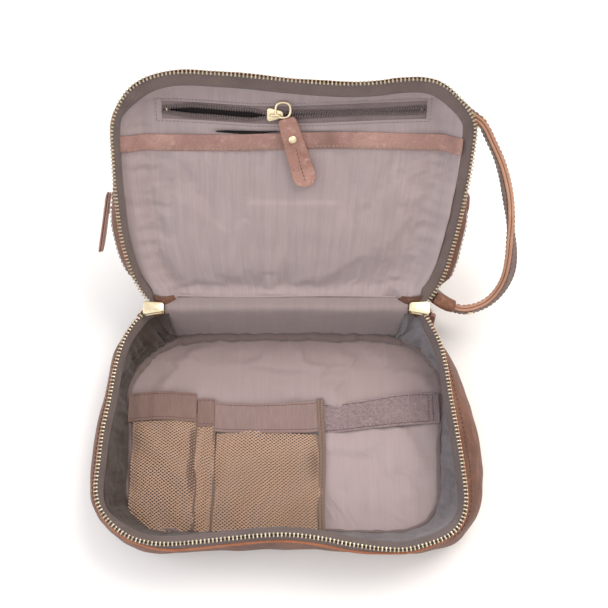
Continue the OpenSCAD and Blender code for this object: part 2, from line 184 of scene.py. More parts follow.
def taper(top_width, foot_width, length, radius):
    """Outline from y=0 down to y=-length, with rounded top corners and a round foot."""
    cx, foot = top_width / 2 - radius, foot_width / 2
    return np.vstack([arc(cx, -radius, radius, 0, 90, 7), arc(-cx, -radius, radius, 90, 180, 7),
                      arc(0, foot - length, foot, 184, 356, 22)])


def rectangle(x0, x1, low, high, count):
    """Points round a four-sided path; low and high may differ at the two ends."""
    corners = np.array([(x0[0], low[0]), (x1[0], low[1]), (x1[1], high[1]), (x0[1], high[0])])
    steps = np.linspace(0, 1, count, endpoint=False)[:, None]
    return np.vstack([a + (b - a) * steps for a, b in zip(corners, np.roll(corners, -1, 0))])


# ---- shapes as (verts, faces) --------------------------------------------------

def ring_faces(rings, segs, closed=False, caps=True):
    """Faces between rings of segs points each."""
    faces = []
    for i in range(rings if closed else rings - 1):
        a, b = i * segs, (i + 1) % rings * segs
        for j in range(segs):
            k = (j + 1) % segs
            faces.append((a + j, a + k, b + k, b + j))
    if caps and not closed:
        faces.append(tuple(range(segs))[::-1])
        faces.append(tuple((rings - 1) * segs + j for j in range(segs)))
    return faces


def tube_shape(path, radius, segs=8, closed=False):
    """A round cord along a path; the radius may vary along it."""
    p = np.asarray(path, float)
    count = len(p)
    radius = np.broadcast_to(np.asarray(radius, float), (count,))[:, None, None]
    t = tangents(p, closed)
    start = UP if abs(t[0][2]) < 0.9 else np.array([0.0, 1.0, 0.0])
    v = start - t[0] * (start @ t[0])
    side = []
    for i in range(count):
        v = v - t[i] * (v @ t[i])
        v = v / max(np.linalg.norm(v), 1e-9)
        side.append(v)
    side = np.array(side)
    other = np.cross(t, side)
    a = np.linspace(0, 2 * math.pi, segs, endpoint=False)[None, :, None]
    verts = p[:, None] + radius * (np.cos(a) * side[:, None] + np.sin(a) * other[:, None])
    return verts.reshape(-1, 3), ring_faces(count, segs, closed)


def revolve(profile, segs):
    """A surface turned round z from (radius, z) stations."""
    turns = 2 * math.pi * np.arange(segs) / segs
    verts = [(r * math.cos(a), r * math.sin(a), z) for r, z in profile for a in turns]
    return np.array(verts), ring_faces(len(profile), segs, caps=False)


def join(parts):
    verts, faces, count = [], [], 0
    for v, f in parts:
        verts.append(np.asarray(v, float))
        faces += [tuple(i + count for i in face) for face in f]
        count += len(v)
    return np.vstack(verts), faces


def copies(shape, at, along, across, up):
    """Copies of one small shape: at each point, with its own three axes."""
    verts, faces = shape
    x, y, z = (np.broadcast_to(a, at.shape)[:, None] for a in (along, across, up))
    placed = at[:, None] + verts[None, :, 0:1] * x + verts[None, :, 1:2] * y
    placed = placed + verts[None, :, 2:3] * z
    step = len(verts)
    return (placed.reshape(-1, 3),
            [tuple(i + j * step for i in face) for j in range(len(at)) for face in faces])


def box_shape(width, depth, height, bevel, shift=(0, 0, 0)):
    """A small box with chamfered edges, centred on shift."""
    bm = bmesh.new()
    bmesh.ops.create_cube(bm, size=1)
    for v in bm.verts:
        v.co.x *= width
        v.co.y *= depth
        v.co.z *= height
    if bevel:
        bmesh.ops.bevel(bm, geom=list(bm.edges), offset=bevel, segments=2, affect="EDGES",
                        profile=0.6)
    bm.verts.ensure_lookup_table()
    verts = np.array([v.co for v in bm.verts], float)
    faces = [tuple(v.index for v in f.verts) for f in bm.faces]
    bm.free()
    return verts + shift, faces


def plate(outline, height, bevel, z0=0.0):
    """A flat plate with a rounded edge, from a plan outline."""
    o = np.asarray(outline, float)
    count, centre = len(o), o.mean(0)
    t = tangents(o, True)
    out = np.stack([t[:, 1], -t[:, 0]], -1)
    if ((o - centre) * out).sum() < 0:
        out = -out
    rings = [(-bevel, 0), (-bevel * 0.3, bevel * 0.3), (0, bevel), (0, height - bevel),
             (-bevel * 0.3, height - bevel * 0.3), (-bevel, height)]
    verts = np.vstack([with_z(o + out * grow, z + z0) for grow, z in rings]
                      + [[[*centre, z0]], [[*centre, z0 + height]]])
    faces = ring_faces(len(rings), count, caps=False)
    # ring_faces starts at the lower ring, as wanted; the two ends are fans
    low, high, top = len(verts) - 2, len(verts) - 1, (len(rings) - 1) * count
    for i in range(count):
        j = (i + 1) % count
        faces.append((low, j, i))
        faces.append((high, top + i, top + j))
    area = np.sum(o[:, 0] * np.roll(o[:, 1], -1) - np.roll(o[:, 0], -1) * o[:, 1])
    if area < 0:
        faces = [f[::-1] for f in faces]
    return verts, faces


def wire(lines, radius, sides=4):
    """Many straight threads as thin prisms: lines is (n, 2, 3)."""
    a, b = lines[:, 0], lines[:, 1]
    side = unit(np.cross(unit(b - a), UP))
    over = np.cross(side, unit(b - a))
    angle = (np.arange(sides) * 2 * math.pi / sides)[None, :, None]
    ring = np.cos(angle) * side[:, None] * radius + np.sin(angle) * over[:, None] * radius * 0.8
    verts = np.concatenate([a[:, None] + ring, b[:, None] + ring], 1).reshape(-1, 3)
    faces = []
    for k in range(0, len(verts), 2 * sides):
        for j in range(sides):
            j2 = (j + 1) % sides
            faces.append((k + j, k + j2, k + sides + j2, k + sides + j))
    return verts, faces


def place(verts, origin, x, y, z):
    return origin + verts[:, :1] * x + verts[:, 1:2] * y + verts[:, 2:3] * z


# ---- objects ---------------------------------------------------------------------

MAT = {}


def mesh(name, verts, faces, materials, smooth=True, uv=None):
    """A mesh object; materials is one name in MAT or a tuple of them."""
    me = bpy.data.meshes.new(name)
    me.from_pydata([tuple(v) for v in np.asarray(verts, float) * MM], [],
                   [tuple(int(i) for i in f) for f in faces])
    me.validate()
    me.update()
    if uv is not None:
        layer = me.uv_layers.new(name="UVMap")
        index = np.empty(len(me.loops), int)
        me.loops.foreach_get("vertex_index", index)
        layer.data.foreach_set("uv", (np.asarray(uv, float)[index] * MM).ravel())
    if smooth:
        me.polygons.foreach_set("use_smooth", [True] * len(me.polygons))
    ob = bpy.data.objects.new(name, me)
    bpy.context.scene.collection.objects.link(ob)
    for key in [materials] if isinstance(materials, str) else materials:
        me.materials.append(MAT[key])
    return ob


def thicken(ob, thick, offset=0.0, rim=True):
    mod = ob.modifiers.new("thick", "SOLIDIFY")
    mod.thickness, mod.offset, mod.use_rim = thick * MM, offset, rim


def grid(name, points, material, closed_u=False, thick=0.0, offset=0.0, sub=0, uv=None,
         flip=False, rim=True):
    """A sheet from an n x m grid of points. UVs are lengths along the sheet."""
    n, m = points.shape[:2]
    if uv is None:
        uv = np.stack(np.meshgrid(arc_length(points[:, m // 2]), arc_length(points[n // 2]),
                                  indexing="ij"), -1)
    faces = []
    for i in range(n if closed_u else n - 1):
        a, b = i * m, ((i + 1) % n) * m
        for j in range(m - 1):
            f = (a + j, b + j, b + j + 1, a + j + 1)
            faces.append(f[::-1] if flip else f)
    ob = mesh(name, points.reshape(-1, 3), faces, material, uv=uv.reshape(-1, 2))
    if thick:
        thicken(ob, thick, offset, rim)
    if sub:
        mod = ob.modifiers.new("sub", "SUBSURF")
        mod.levels = mod.render_levels = sub
    return ob


def disc(name, rings, plan, centre, material, facing=None):
    """A sheet of closed rings, fanned shut round a centre point and turned to facing."""
    ob = grid(name, rings, material, closed_u=True, uv=plan)
    count, per_spoke = rings.shape[:2]
    bm = bmesh.new()
    bm.from_mesh(ob.data)
    middle = bm.verts.new(tuple(np.asarray(centre, float) * MM))
    bm.verts.ensure_lookup_table()
    layer = bm.loops.layers.uv.active
    for i in range(count):
        a = bm.verts[i * per_spoke + per_spoke - 1]
        b = bm.verts[((i + 1) % count) * per_spoke + per_spoke - 1]
        face = bm.faces.new((a, b, middle))
        face.smooth = True
        for loop in face.loops:
            loop[layer].uv = (loop.vert.co.x, loop.vert.co.y)
    bmesh.ops.recalc_face_normals(bm, faces=bm.faces)
    if facing is not None and sum(f.normal.dot(Vector(facing)) for f in bm.faces) < 0:
        bmesh.ops.reverse_faces(bm, faces=bm.faces)
    bm.to_mesh(ob.data)
    bm.free()
    return ob


def recalc_normals(ob):
    bm = bmesh.new()
    bm.from_mesh(ob.data)
    bmesh.ops.recalc_face_normals(bm, faces=bm.faces)
    bm.to_mesh(ob.data)
    bm.free()


def mesh_points(me):
    return np.array([v.co[:] for v in me.vertices]) / MM


def put(ob, body, slot, *nodes):
    """Hands a piece to a moving body and hides the CAD nodes it replaces; slot is not used."""
    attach(ob, body)
    if nodes:
        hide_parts(*nodes)
    return ob


def tube(name, path, radius, material, segs=8, closed=False):
    return mesh(name, *tube_shape(path, radius, segs, closed), material)


def sew(name, body, path, normal, thread, pitch, length, radius, lift=0.15):
    """A row of raised thread stitches along a path; body None leaves it unattached."""
    along = arc_length(path)
    count = max(2, int(along[-1] / pitch))
    at = (np.arange(count) + 0.5) * along[-1] / count
    t = unit(sample(at + 0.8, along, path) - sample(at - 0.8, along, path))
    n = unit(sample(at, along, np.broadcast_to(np.asarray(normal, float), path.shape)))
    x = np.linspace(-length / 2, length / 2, 7)
    share = np.abs(x) / (length / 2)
    bow = np.column_stack([x, np.zeros(7), lift - share ** 3 * (lift + radius)])
    stitch = tube_shape(bow, radius * (1 - 0.35 * share ** 4), segs=6)
    ob = mesh(name, *copies(stitch, at=sample(at, along, path), along=t,
                            across=np.cross(n, t), up=n), thread)
    if body:
        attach(ob, body)
    return ob


def settle(ob, pin, pressure, grow, limit, away=None):
    """Lets a sheet find its own slack by cloth simulation, then keeps the shape.

    pin is the hold on each vertex (0..1); grow is the extra cloth; limit (mm) bounds each
    vertex's move along its normal; away is the way off the thing the sheet lies on, into
    which it never sinks."""
    scene = bpy.context.scene
    me = ob.data.copy()
    trial = bpy.data.objects.new("settling", me)
    scene.collection.objects.link(trial)
    group = trial.vertex_groups.new(name="pin")
    for i, weight in enumerate(pin):
        if weight > 0:
            group.add([i], float(weight), "REPLACE")
    mod = trial.modifiers.new("cloth", "CLOTH")
    s = mod.settings
    s.quality, s.mass, s.air_damping = 6, 0.12, 4.0
    s.tension_stiffness = s.compression_stiffness = 14
    s.shear_stiffness, s.bending_stiffness = 6, 0.35
    s.vertex_group_mass, s.pin_stiffness = "pin", 1.0
    s.shrink_min = -grow
    s.use_pressure, s.uniform_pressure_force = True, pressure
    s.effector_weights.gravity = 0
    mod.collision_settings.use_collision = False
    mod.collision_settings.use_self_collision = False
    frames = 20
    mod.point_cache.frame_start, mod.point_cache.frame_end = 1, frames
    for f in range(1, frames + 1):
        scene.frame_set(f)
    settled = trial.evaluated_get(bpy.context.evaluated_depsgraph_get()).data
    new, old, normal = (np.empty(len(me.vertices) * 3) for _ in range(3))
    settled.vertices.foreach_get("co", new)
    me.vertices.foreach_get("co", old)
    me.vertices.foreach_get("normal", normal)
    new, old, normal = (a.reshape(-1, 3) for a in (new, old, normal))
    move = new - old
    along = (move * normal).sum(1)
    limit = np.asarray(limit, float) * MM
    kept = np.clip(along, -limit, limit)
    if away is not None:
        sign = np.where(normal @ np.asarray(away, float) >= 0, 1.0, -1.0)
        kept = sign * np.maximum(kept * sign, 0.0)
    slide = move - normal * along[:, None]
    slide *= np.minimum(1.0, 0.8 * MM / np.maximum(
        np.linalg.norm(slide, axis=1, keepdims=True), 1e-9))
    out = old + normal * kept[:, None] + slide * 0.6
    # a simulation that blew up is thrown away
    if not np.isfinite(out).all() or np.abs(move).max() > 0.05:
        out = old
    ob.data.vertices.foreach_set("co", out.ravel())
    ob.data.update()
    bpy.data.objects.remove(trial)
    scene.frame_set(1)


# ---- materials ---------------------------------------------------------------------

def shade(color, factor):
    return [c * factor for c in color]


def wave_scale(period):
    """Scale that gives the wave texture bands a period in mm."""
    return 2 * math.pi / (period * MM) / 20.0


class Shader:
    """A short way to write a material's node tree; its scales are per metre."""

    def __init__(self, name):
        self.material = bpy.data.materials.new(name)
        self.material.use_nodes = True
        self.tree = self.material.node_tree
        self.tree.nodes.clear()
        output = self.node("ShaderNodeOutputMaterial")
        self.bsdf = self.node("ShaderNodeBsdfPrincipled")
        self.link(self.bsdf.outputs[0], output.inputs[0])
        self.coords = self.node("ShaderNodeTexCoord")

    def node(self, kind, **settings):
        node = self.tree.nodes.new(kind)
        for key, value in settings.items():
            setattr(node, key, value)
        return node

    def link(self, a, b):
        self.tree.links.new(a, b)

    def put(self, socket, value):
        if isinstance(value, bpy.types.NodeSocket):
            self.link(value, socket)
        elif isinstance(value, (tuple, list)):
            socket.default_value = (*value, 1.0)
        else:
            socket.default_value = value

    def texture(self, kind, vector, out, inputs, **settings):
        node = self.node(kind, **settings)
        self.link(vector, node.inputs["Vector"])
        for key, value in inputs.items():
            node.inputs[key].default_value = value
        return node.outputs[out]

    def coord(self, kind="Object", scale=(1, 1, 1), rot=(0, 0, 0)):
        return self.texture("ShaderNodeMapping", self.coords.outputs[kind], 0,
                            {"Scale": scale, "Rotation": rot})

    def axis(self, vector, index):
        node = self.node("ShaderNodeSeparateXYZ")
        self.link(vector, node.inputs[0])
        return node.outputs[index]

    def noise(self, vector, scale, detail=4, rough=0.55, dist=0.0):
        return self.texture("ShaderNodeTexNoise", vector, "Fac", {
            "Scale": scale, "Detail": detail, "Roughness": rough, "Distortion": dist})

    def cells(self, vector, scale, feature="F1"):
        return self.texture("ShaderNodeTexVoronoi", vector, "Distance", {"Scale": scale},
                            feature=feature)

    def wave(self, vector, scale, dist, direction="X", detail=2, detail_scale=1.0):
        return self.texture("ShaderNodeTexWave", vector, "Fac", {
            "Scale": scale, "Distortion": dist, "Detail": detail,
            "Detail Scale": detail_scale}, bands_direction=direction)

    def math(self, op, a, b, clamp=False):
        node = self.node("ShaderNodeMath", operation=op, use_clamp=clamp)
        self.put(node.inputs[0], a)
        self.put(node.inputs[1], b)
        return node.outputs[0]

    def ramp(self, value, span, to=(0.0, 1.0)):
        node = self.node("ShaderNodeMapRange", clamp=True)
        for socket, v in zip(node.inputs, (value, *span, *to)):
            self.put(socket, v)
        return node.outputs[0]

    def mix(self, factor, a, b):
        node = self.node("ShaderNodeMix", data_type="RGBA")
        for index, v in ((0, factor), (6, a), (7, b)):
            self.put(node.inputs[index], v)
        return node.outputs[2]

    def tint(self, base, tone, mask, span, amount=1.0, at_start=0.0):
        """Tone laid over base as the mask crosses span, up to amount."""
        return self.mix(self.ramp(mask, span, (at_start, amount)), base, tone)

    def bump(self, height, dist, strength, under=None):
        node = self.node("ShaderNodeBump")
        self.put(node.inputs["Height"], height)
        node.inputs["Distance"].default_value = dist
        node.inputs["Strength"].default_value = strength
        if under is not None:
            self.link(under, node.inputs["Normal"])
        return node.outputs[0]

    def done(self, color, rough, normal, metal=0.0, sheen=0.0, spec=None):
        inputs = self.bsdf.inputs
        self.put(inputs["Base Color"], color)
        self.put(inputs["Roughness"], rough)
        inputs["Metallic"].default_value = metal
        if sheen:
            inputs["Sheen Weight"].default_value = sheen
            inputs["Sheen Roughness"].default_value = 0.6
        if spec is not None:
            inputs["Specular IOR Level"].default_value = spec
        self.link(normal, inputs["Normal"])
        return self.material


def leather_mat(name, dark, mid, light, scuff, rough=0.52, strata=0.0):
    t = Shader(name)
    v = t.coord()
    big = t.noise(v, 16, detail=5, rough=0.6, dist=0.6)
    med = t.noise(v, 60, detail=6, rough=0.65, dist=0.8)
    streak = t.noise(t.coord(scale=(1.0, 0.35, 1.6)), 120, detail=5, rough=0.7, dist=1.2)
    fine = t.noise(v, 900, rough=0.6)
    c = t.tint(dark, mid, big, span=(0.32, 0.68))
    worn = t.math("MULTIPLY", t.ramp(med, (0.5, 0.74)), t.ramp(streak, (0.4, 0.65)), True)
    c = t.mix(t.math("MULTIPLY", worn, scuff, True), c, light)
    c = t.tint(c, light, streak, span=(0.56, 0.8), amount=0.55 * scuff + 0.1)
    c = t.tint(c, shade(dark, 0.55), fine, span=(0.35, 0.75), amount=0.35)
    pores = t.ramp(t.cells(v, 520, "DISTANCE_TO_EDGE"), (0.0, 0.12))
    crease = t.ramp(t.wave(t.coord(), 34, dist=14, detail=4, detail_scale=1.8), (0.0, 0.12))
    height = t.math("ADD", t.math("MULTIPLY", pores, 0.5), t.math("MULTIPLY", fine, 0.6))
    n = t.bump(height, dist=0.00022, strength=0.6)
    n = t.bump(med, dist=0.0009, strength=0.45, under=n)
    n = t.bump(crease, dist=0.0005, strength=0.25, under=n)
    if strata:  # long creases that run round the bag
        lines = t.noise(t.coord(scale=(0.16, 0.16, 1.0)), 300, detail=3, rough=0.5, dist=0.9)
        c = t.tint(c, shade(dark, 0.6), lines, span=(0.36, 0.5), at_start=strata, amount=0)
        c = t.tint(c, light, lines, span=(0.58, 0.72), amount=strata * 0.55)
        n = t.bump(lines, dist=0.0012, strength=0.5, under=n)
    roughness = t.ramp(med, (0.3, 0.75), to=(rough - 0.1, rough + 0.16))
    return t.done(c, roughness, n, spec=0.42)


def cloth_mat(name, col, col2, coord="UV", streak=0.5, period=0.42, rough=0.8, sheen=0.25,
              back=None):
    """Plain woven lining: fine threads both ways, with long soft streaks along V."""
    t = Shader(name)
    v = t.coord(coord)
    drawn = t.coord(coord, (1.0, 0.05, 1.0))
    thin = t.noise(drawn, 700, detail=3, rough=0.6)
    wide = t.noise(drawn, 190, rough=0.6)
    blotch = t.noise(v, 14)
    scale = wave_scale(period)
    weave = t.math("MULTIPLY", t.wave(v, scale, dist=0.25),
                   t.wave(v, scale, dist=0.25, direction="Y"))
    c = t.tint(col, col2, thin, span=(0.35, 0.68), amount=streak)
    c = t.tint(c, shade(col, 0.82), wide, span=(0.4, 0.7), amount=streak * 0.7)
    c = t.tint(c, shade(col2, 0.86), blotch, span=(0.35, 0.7), amount=0.35)
    c = t.tint(c, shade(col, 0.6), weave, span=(0.0, 0.9), at_start=0.22, amount=0.0)
    height = t.math("ADD", t.math("MULTIPLY", weave, 0.6), t.math("MULTIPLY", thin, 0.7))
    n = t.bump(height, dist=0.00016, strength=0.7)
    n = t.bump(wide, dist=0.0004, strength=0.35, under=n)
    # painted shade: the floor turns browner and darker towards the back of the tray, where the hinge
    # wall and the raised lid shade it
    if back:  # browner and duller towards the back of the tray
        c = t.tint(c, back, t.axis(t.coord(), 1), span=(-0.005, 0.075), amount=0.62)
    return t.done(c, rough, n, sheen=sheen, spec=0.3)


def wall_mat(name):
    """The tray's wall lining, darkened as painted shade: dull brown on the left where the wall is in
    shade, blue-grey on the right as painted cool window light.
    """
    t = Shader(name)
    v = t.coord("UV")
    place_in_bag = t.coord()
    rightness = t.ramp(t.axis(place_in_bag, 0), (-0.095, 0.085))
    thin = t.noise(t.coord("UV", (1.0, 0.06, 1.0)), 600, detail=3, rough=0.6)
    blotch = t.noise(place_in_bag, 40, rough=0.6)
    scale = wave_scale(0.21)
    weave = t.math("MULTIPLY", t.wave(v, scale, dist=0.25),
                   t.wave(v, scale, dist=0.25, direction="Y"))
    brown = t.tint((0.036, 0.018, 0.011), (0.062, 0.035, 0.024), thin, (0.35, 0.7), 0.6)
    grey = t.tint((0.185, 0.163, 0.176), (0.25, 0.225, 0.24), thin, (0.35, 0.7), 0.6)
    # painted light: the shaded brown of the left wall blends into the cool-lit blue-grey of the right
    c = t.mix(rightness, brown, grey)
    c = t.tint(c, (0.085, 0.068, 0.066), blotch, span=(0.4, 0.72), amount=0.5)
    n = t.bump(t.math("ADD", t.math("MULTIPLY", weave, 0.6), thin), dist=0.00015, strength=0.7)
    return t.done(c, 0.82, n, sheen=0.2, spec=0.25)


def rib_mat(name, col, col2, period, along="X", depth=0.0005, streak=0.0):
    """Ribbed tape: raised ribs across it, flecked threads."""
    t = Shader(name)
    v = t.coord("UV")
    ribs = t.wave(v, wave_scale(period), dist=0.6, direction=along, detail=3, detail_scale=3)
    flecks = t.noise(v, 1400, detail=3, rough=0.7)
    blotch = t.noise(v, 45, rough=0.6)
    c = t.tint(shade(col, 0.8 if streak else 0.62), col2, ribs, span=(0.15, 0.85))
    c = t.tint(c, col, flecks, span=(0.35, 0.7), amount=0.6)
    if streak:
        drawn = t.noise(t.coord("UV", (1.0, 0.06, 1.0)), 1500, rough=0.65)
        c = t.tint(c, shade(col, 0.66), drawn, span=(0.38, 0.66), amount=streak)
    c = t.tint(c, shade(col, 0.72), blotch, span=(0.4, 0.75), amount=0.4)
    n = t.bump(ribs, dist=depth, strength=0.7)
    n = t.bump(flecks, dist=0.0003, strength=0.5, under=n)
    return t.done(c, 0.85, n, sheen=0.25, spec=0.25)


def twill_mat(name, col, col2):
    """Zip tape: fine slanting ribs with flecks."""
    t = Shader(name)
    slant = t.coord("UV", rot=(0, 0, math.radians(38)))
    v = t.coord("UV")
    ribs = t.wave(slant, wave_scale(0.9), dist=0.8, detail_scale=2)
    flecks = t.noise(v, 1700, detail=3, rough=0.75)
    blotch = t.noise(v, 60, detail=3, rough=0.6)
    c = t.tint(shade(col, 0.6), col2, ribs, span=(0.1, 0.9))
    c = t.tint(c, shade(col2, 1.5), flecks, span=(0.42, 0.72), amount=0.75)
    c = t.tint(c, shade(col, 0.7), blotch, span=(0.4, 0.7), amount=0.4)
    n = t.bump(ribs, dist=0.00035, strength=0.6)
    n = t.bump(flecks, dist=0.00025, strength=0.5, under=n)
    return t.done(c, 0.85, n, sheen=0.2, spec=0.25)


def metal_mat(name, col, dark, rough, tarnish):
    t = Shader(name)
    v = t.coord()
    patches = t.noise(v, 260, rough=0.6)
    grain = t.noise(v, 1800, detail=3, rough=0.6)
    c = t.tint(col, dark, patches, span=(0.4, 0.72), amount=tarnish)
    n = t.bump(grain, dist=0.00006, strength=0.5)
    roughness = t.ramp(patches, (0.3, 0.7), to=(rough - 0.06, rough + 0.18))
    return t.done(c, roughness, n, metal=1.0)


def thread_mat(name, col):
    t = Shader(name)
    v = t.coord()
    twist = t.wave(t.coord(rot=(0.3, 0.4, 0.8)), 260, dist=0.4)
    c = t.tint(shade(col, 0.6), col, twist, span=(0.2, 0.8), amount=0.6)
    # partly painted shade: these darker patches stand in for the shade of the net's folds, as well as
    # thread tone that varies
    c = t.tint(c, shade(col, 0.7), t.noise(v, 90), span=(0.4, 0.7), amount=0.4)
    c = t.tint(c, shade(col, 0.62), t.noise(v, 26), span=(0.42, 0.66), amount=0.5)
    return t.done(c, 0.7, t.bump(twist, dist=0.0001, strength=0.5), sheen=0.2)


def pile_mat(name, col, col2):
    t = Shader(name)
    v = t.coord("UV")
    fuzz = t.noise(v, 1500, rough=0.8)
    loops = t.cells(v, 1300)
    blotch = t.noise(v, 120, rough=0.6)
    c = t.tint(col, col2, fuzz, span=(0.35, 0.7))
    c = t.tint(c, shade(col, 0.8), blotch, span=(0.4, 0.7), amount=0.4)
    n = t.bump(t.math("ADD", fuzz, loops), dist=0.0007, strength=0.8)
    return t.done(c, 0.95, n, sheen=0.6, spec=0.1)


# name, dark, middle and light colours, then options
LEATHERS = [
    ("leather_brown", (0.085, 0.034, 0.021), (0.195, 0.083, 0.050), (0.41, 0.205, 0.13),
     dict(scuff=0.6)),
    ("leather_brown_creased", (0.085, 0.032, 0.019), (0.20, 0.083, 0.048),
     (0.42, 0.205, 0.13), dict(scuff=0.62, strata=0.22)),
    ("leather_strap", (0.09, 0.042, 0.032), (0.17, 0.082, 0.06), (0.36, 0.21, 0.155),
     dict(scuff=0.5, rough=0.5)),
    ("leather_pull", (0.27, 0.13, 0.098), (0.50, 0.275, 0.225), (0.70, 0.47, 0.41),
     dict(scuff=0.8, rough=0.5)),
    ("leather_trim", (0.24, 0.13, 0.11), (0.47, 0.27, 0.23), (0.66, 0.42, 0.36),
     dict(scuff=0.8, rough=0.58)),
    ("leather_edge_tan", (0.26, 0.085, 0.04), (0.42, 0.16, 0.075), (0.60, 0.31, 0.19),
     dict(scuff=0.6, rough=0.6)),
    ("leather_cut_edge", (0.42, 0.21, 0.135), (0.58, 0.315, 0.21), (0.74, 0.48, 0.36),
     dict(scuff=0.6, rough=0.75)),
    ("leather_fold", (0.12, 0.045, 0.025), (0.27, 0.11, 0.055), (0.50, 0.27, 0.17),
     dict(scuff=0.7, rough=0.45)),
]
# name, two thread colours, options
CLOTHS = [
    ("lining_cloth", (0.40, 0.315, 0.32), (0.47, 0.385, 0.385), {}),
    # the floor cloth's back colour is painted shade from the hinge wall and lid
    ("lining_cloth_floor", (0.42, 0.328, 0.333), (0.485, 0.395, 0.395),
     dict(back=(0.25, 0.175, 0.16))),
    ("lining_cloth_lid", (0.385, 0.30, 0.305), (0.455, 0.37, 0.37), dict(streak=0.75)),
    ("lining_cloth_top", (0.375, 0.295, 0.30), (0.44, 0.36, 0.365), dict(streak=0.6)),
    ("lining_cloth_spine", (0.29, 0.225, 0.225), (0.35, 0.28, 0.28), {}),
    ("coil_nylon", (0.17, 0.13, 0.13), (0.30, 0.24, 0.235),
     dict(coord="Object", rough=0.42, sheen=0.0, period=0.5)),
    ("pocket_dark", (0.018, 0.013, 0.012), (0.032, 0.024, 0.022),
     dict(coord="Object", sheen=0.0)),
    ("board_fibre", (0.10, 0.085, 0.075), (0.14, 0.12, 0.11),
     dict(coord="Object", sheen=0.0, rough=0.9)),
]
RIBS = [
    ("seam_binding", (0.235, 0.17, 0.16), (0.355, 0.27, 0.26), dict(period=0.8)),
    ("net_tape", (0.24, 0.15, 0.11), (0.34, 0.23, 0.18), dict(period=0.9, along="Y")),
    ("elastic_rib", (0.29, 0.19, 0.17), (0.40, 0.285, 0.265),
     dict(period=0.85, depth=0.0003, streak=0.42)),
    ("elastic_rib_brown", (0.235, 0.145, 0.12), (0.345, 0.225, 0.195),
     dict(period=0.85, depth=0.0003, streak=0.42)),
]
TWILLS = [
    ("zip_tape_twill", (0.105, 0.072, 0.066), (0.185, 0.135, 0.125), {}),
    ("zip_tape_dark", (0.16, 0.12, 0.12), (0.27, 0.21, 0.21), {}),
]
# name, clean and tarnished colours, options
METALS = [
    ("teeth_aged_brass", (0.66, 0.60, 0.46), (0.26, 0.21, 0.14), dict(rough=0.34, tarnish=0.7)),
    ("slider_gold", (0.90, 0.78, 0.55), (0.72, 0.58, 0.36), dict(rough=0.36, tarnish=0.2)),
    ("brass_aged", (0.74, 0.62, 0.42), (0.32, 0.24, 0.14), dict(rough=0.3, tarnish=0.5)),
]
THREADS = [
    # the second net thread is near-black painted shade for the holes of the nets
    ("net_thread", (0.93, 0.60, 0.42), {}), ("net_thread_back", (0.10, 0.052, 0.034), {}),
    ("thread_brown", (0.17, 0.09, 0.065), {}), ("thread_tan", (0.50, 0.34, 0.25), {}),
    ("thread_grey", (0.27, 0.215, 0.215), {}), ("thread_red", (0.17, 0.055, 0.055), {}),
]
PILES = [("loop_pile", (0.34, 0.235, 0.245), (0.43, 0.315, 0.325), {})]
# the wall lining's material: painted shade on the left, painted cool light on the right
WALLS = [("lining_cloth_wall_two_tone", {})]
for maker, rows in ((leather_mat, LEATHERS), (cloth_mat, CLOTHS), (rib_mat, RIBS),
                    (twill_mat, TWILLS), (metal_mat, METALS), (thread_mat, THREADS),
                    (pile_mat, PILES), (wall_mat, WALLS)):
    for key, *colors, options in rows:
        MAT[key] = maker(key, *colors, **options)


# ---- rims ---------------------------------------------------------------------------

# Tray rim from the right slider round the front to the left one:
# x, distance from the hinge, height.
TRAY_RIM = [
    (98.5, 0.6, 45.4), (102.5, 5, 45.8), (108, 16, 46), (112.5, 28, 46), (115.8, 46, 45.6),
    (118, 70, 45.2), (121.2, 100, 45.4), (123.2, 125, 45.8), (123.8, 143, 46),
    (121.8, 155, 46), (116.5, 165, 46), (108, 171.5, 45.6), (96, 176, 45.2),
    (81, 179.6, 44.6), (66, 179.4, 44.8), (43, 176.6, 46.5), (26, 173.6, 48.6),
    (6, 171.2, 50.2), (-10, 171.0, 50.2), (-35, 172.8, 49.0), (-59, 175, 47.2),
    (-80, 176.2, 46), (-92, 175.6, 46), (-104, 172.6, 46), (-114, 167, 46),
    (-122.5, 159.5, 46), (-129, 150, 46), (-132, 139, 46), (-131.6, 118, 45.8),
    (-130.4, 95, 45.6), (-127, 70, 45.6), (-124.4, 46, 45.8), (-119.8, 26, 46),
    (-113.5, 13, 46), (-106, 4.5, 45.8), (-98.5, 0.6, 45.4)]
# Lid rim from the right slider over the top to the left one:
# x, distance up from the hinge, depth.
LID_RIM = [
    (98.5, 0.6, 0.3), (104.5, 5, 0.2), (111.5, 16, 0), (116.8, 30, 0), (120.4, 46, 0.3),
    (123.6, 62, 0.4), (126.2, 80, 0), (128.8, 100, -0.4), (130.6, 122, -0.4),
    (130.6, 139.5, 0), (125.6, 149.6, 0), (118.8, 157.6, 0), (111.2, 164.6, 0),
    (102.2, 169.6, 0), (91.5, 171.6, 0), (77, 171.0, 0.6), (62, 169.0, 1.2),
    (40, 168.2, 1.4), (15, 169.6, 1.0), (-15, 172.6, 0.6), (-45, 175.4, 0.2),
    (-72, 176.4, 0), (-87, 174.4, 0), (-99.5, 169.6, 0), (-109.5, 161.8, 0),
    (-116.6, 151, 0), (-120.8, 139, 0), (-121.8, 118, 0), (-121.8, 96, 0.4),
    (-121, 76, 0.6), (-119.4, 56, 0.5), (-116.2, 38, 0.2), (-112, 24, 0),
    (-106.5, 12, 0.1), (-98.5, 0.6, 0.3)]

RIM_COUNT = 640
tray_rim = spline(TRAY_RIM, RIM_COUNT)
tray_rim[:, 1] = tray_y(tray_rim[:, 1])
tray_out = outward(tray_rim)
lid_rim = spline(LID_RIM, RIM_COUNT)


def end_fade(width):
    """0 at both ends of a rim, 1 beyond width of its length."""
    share = np.linspace(0, 1, RIM_COUNT)
    return ease(share, 0, width) * ease(1 - share, 0, width)


# ---- tray leather -------------------------------------------------------------------

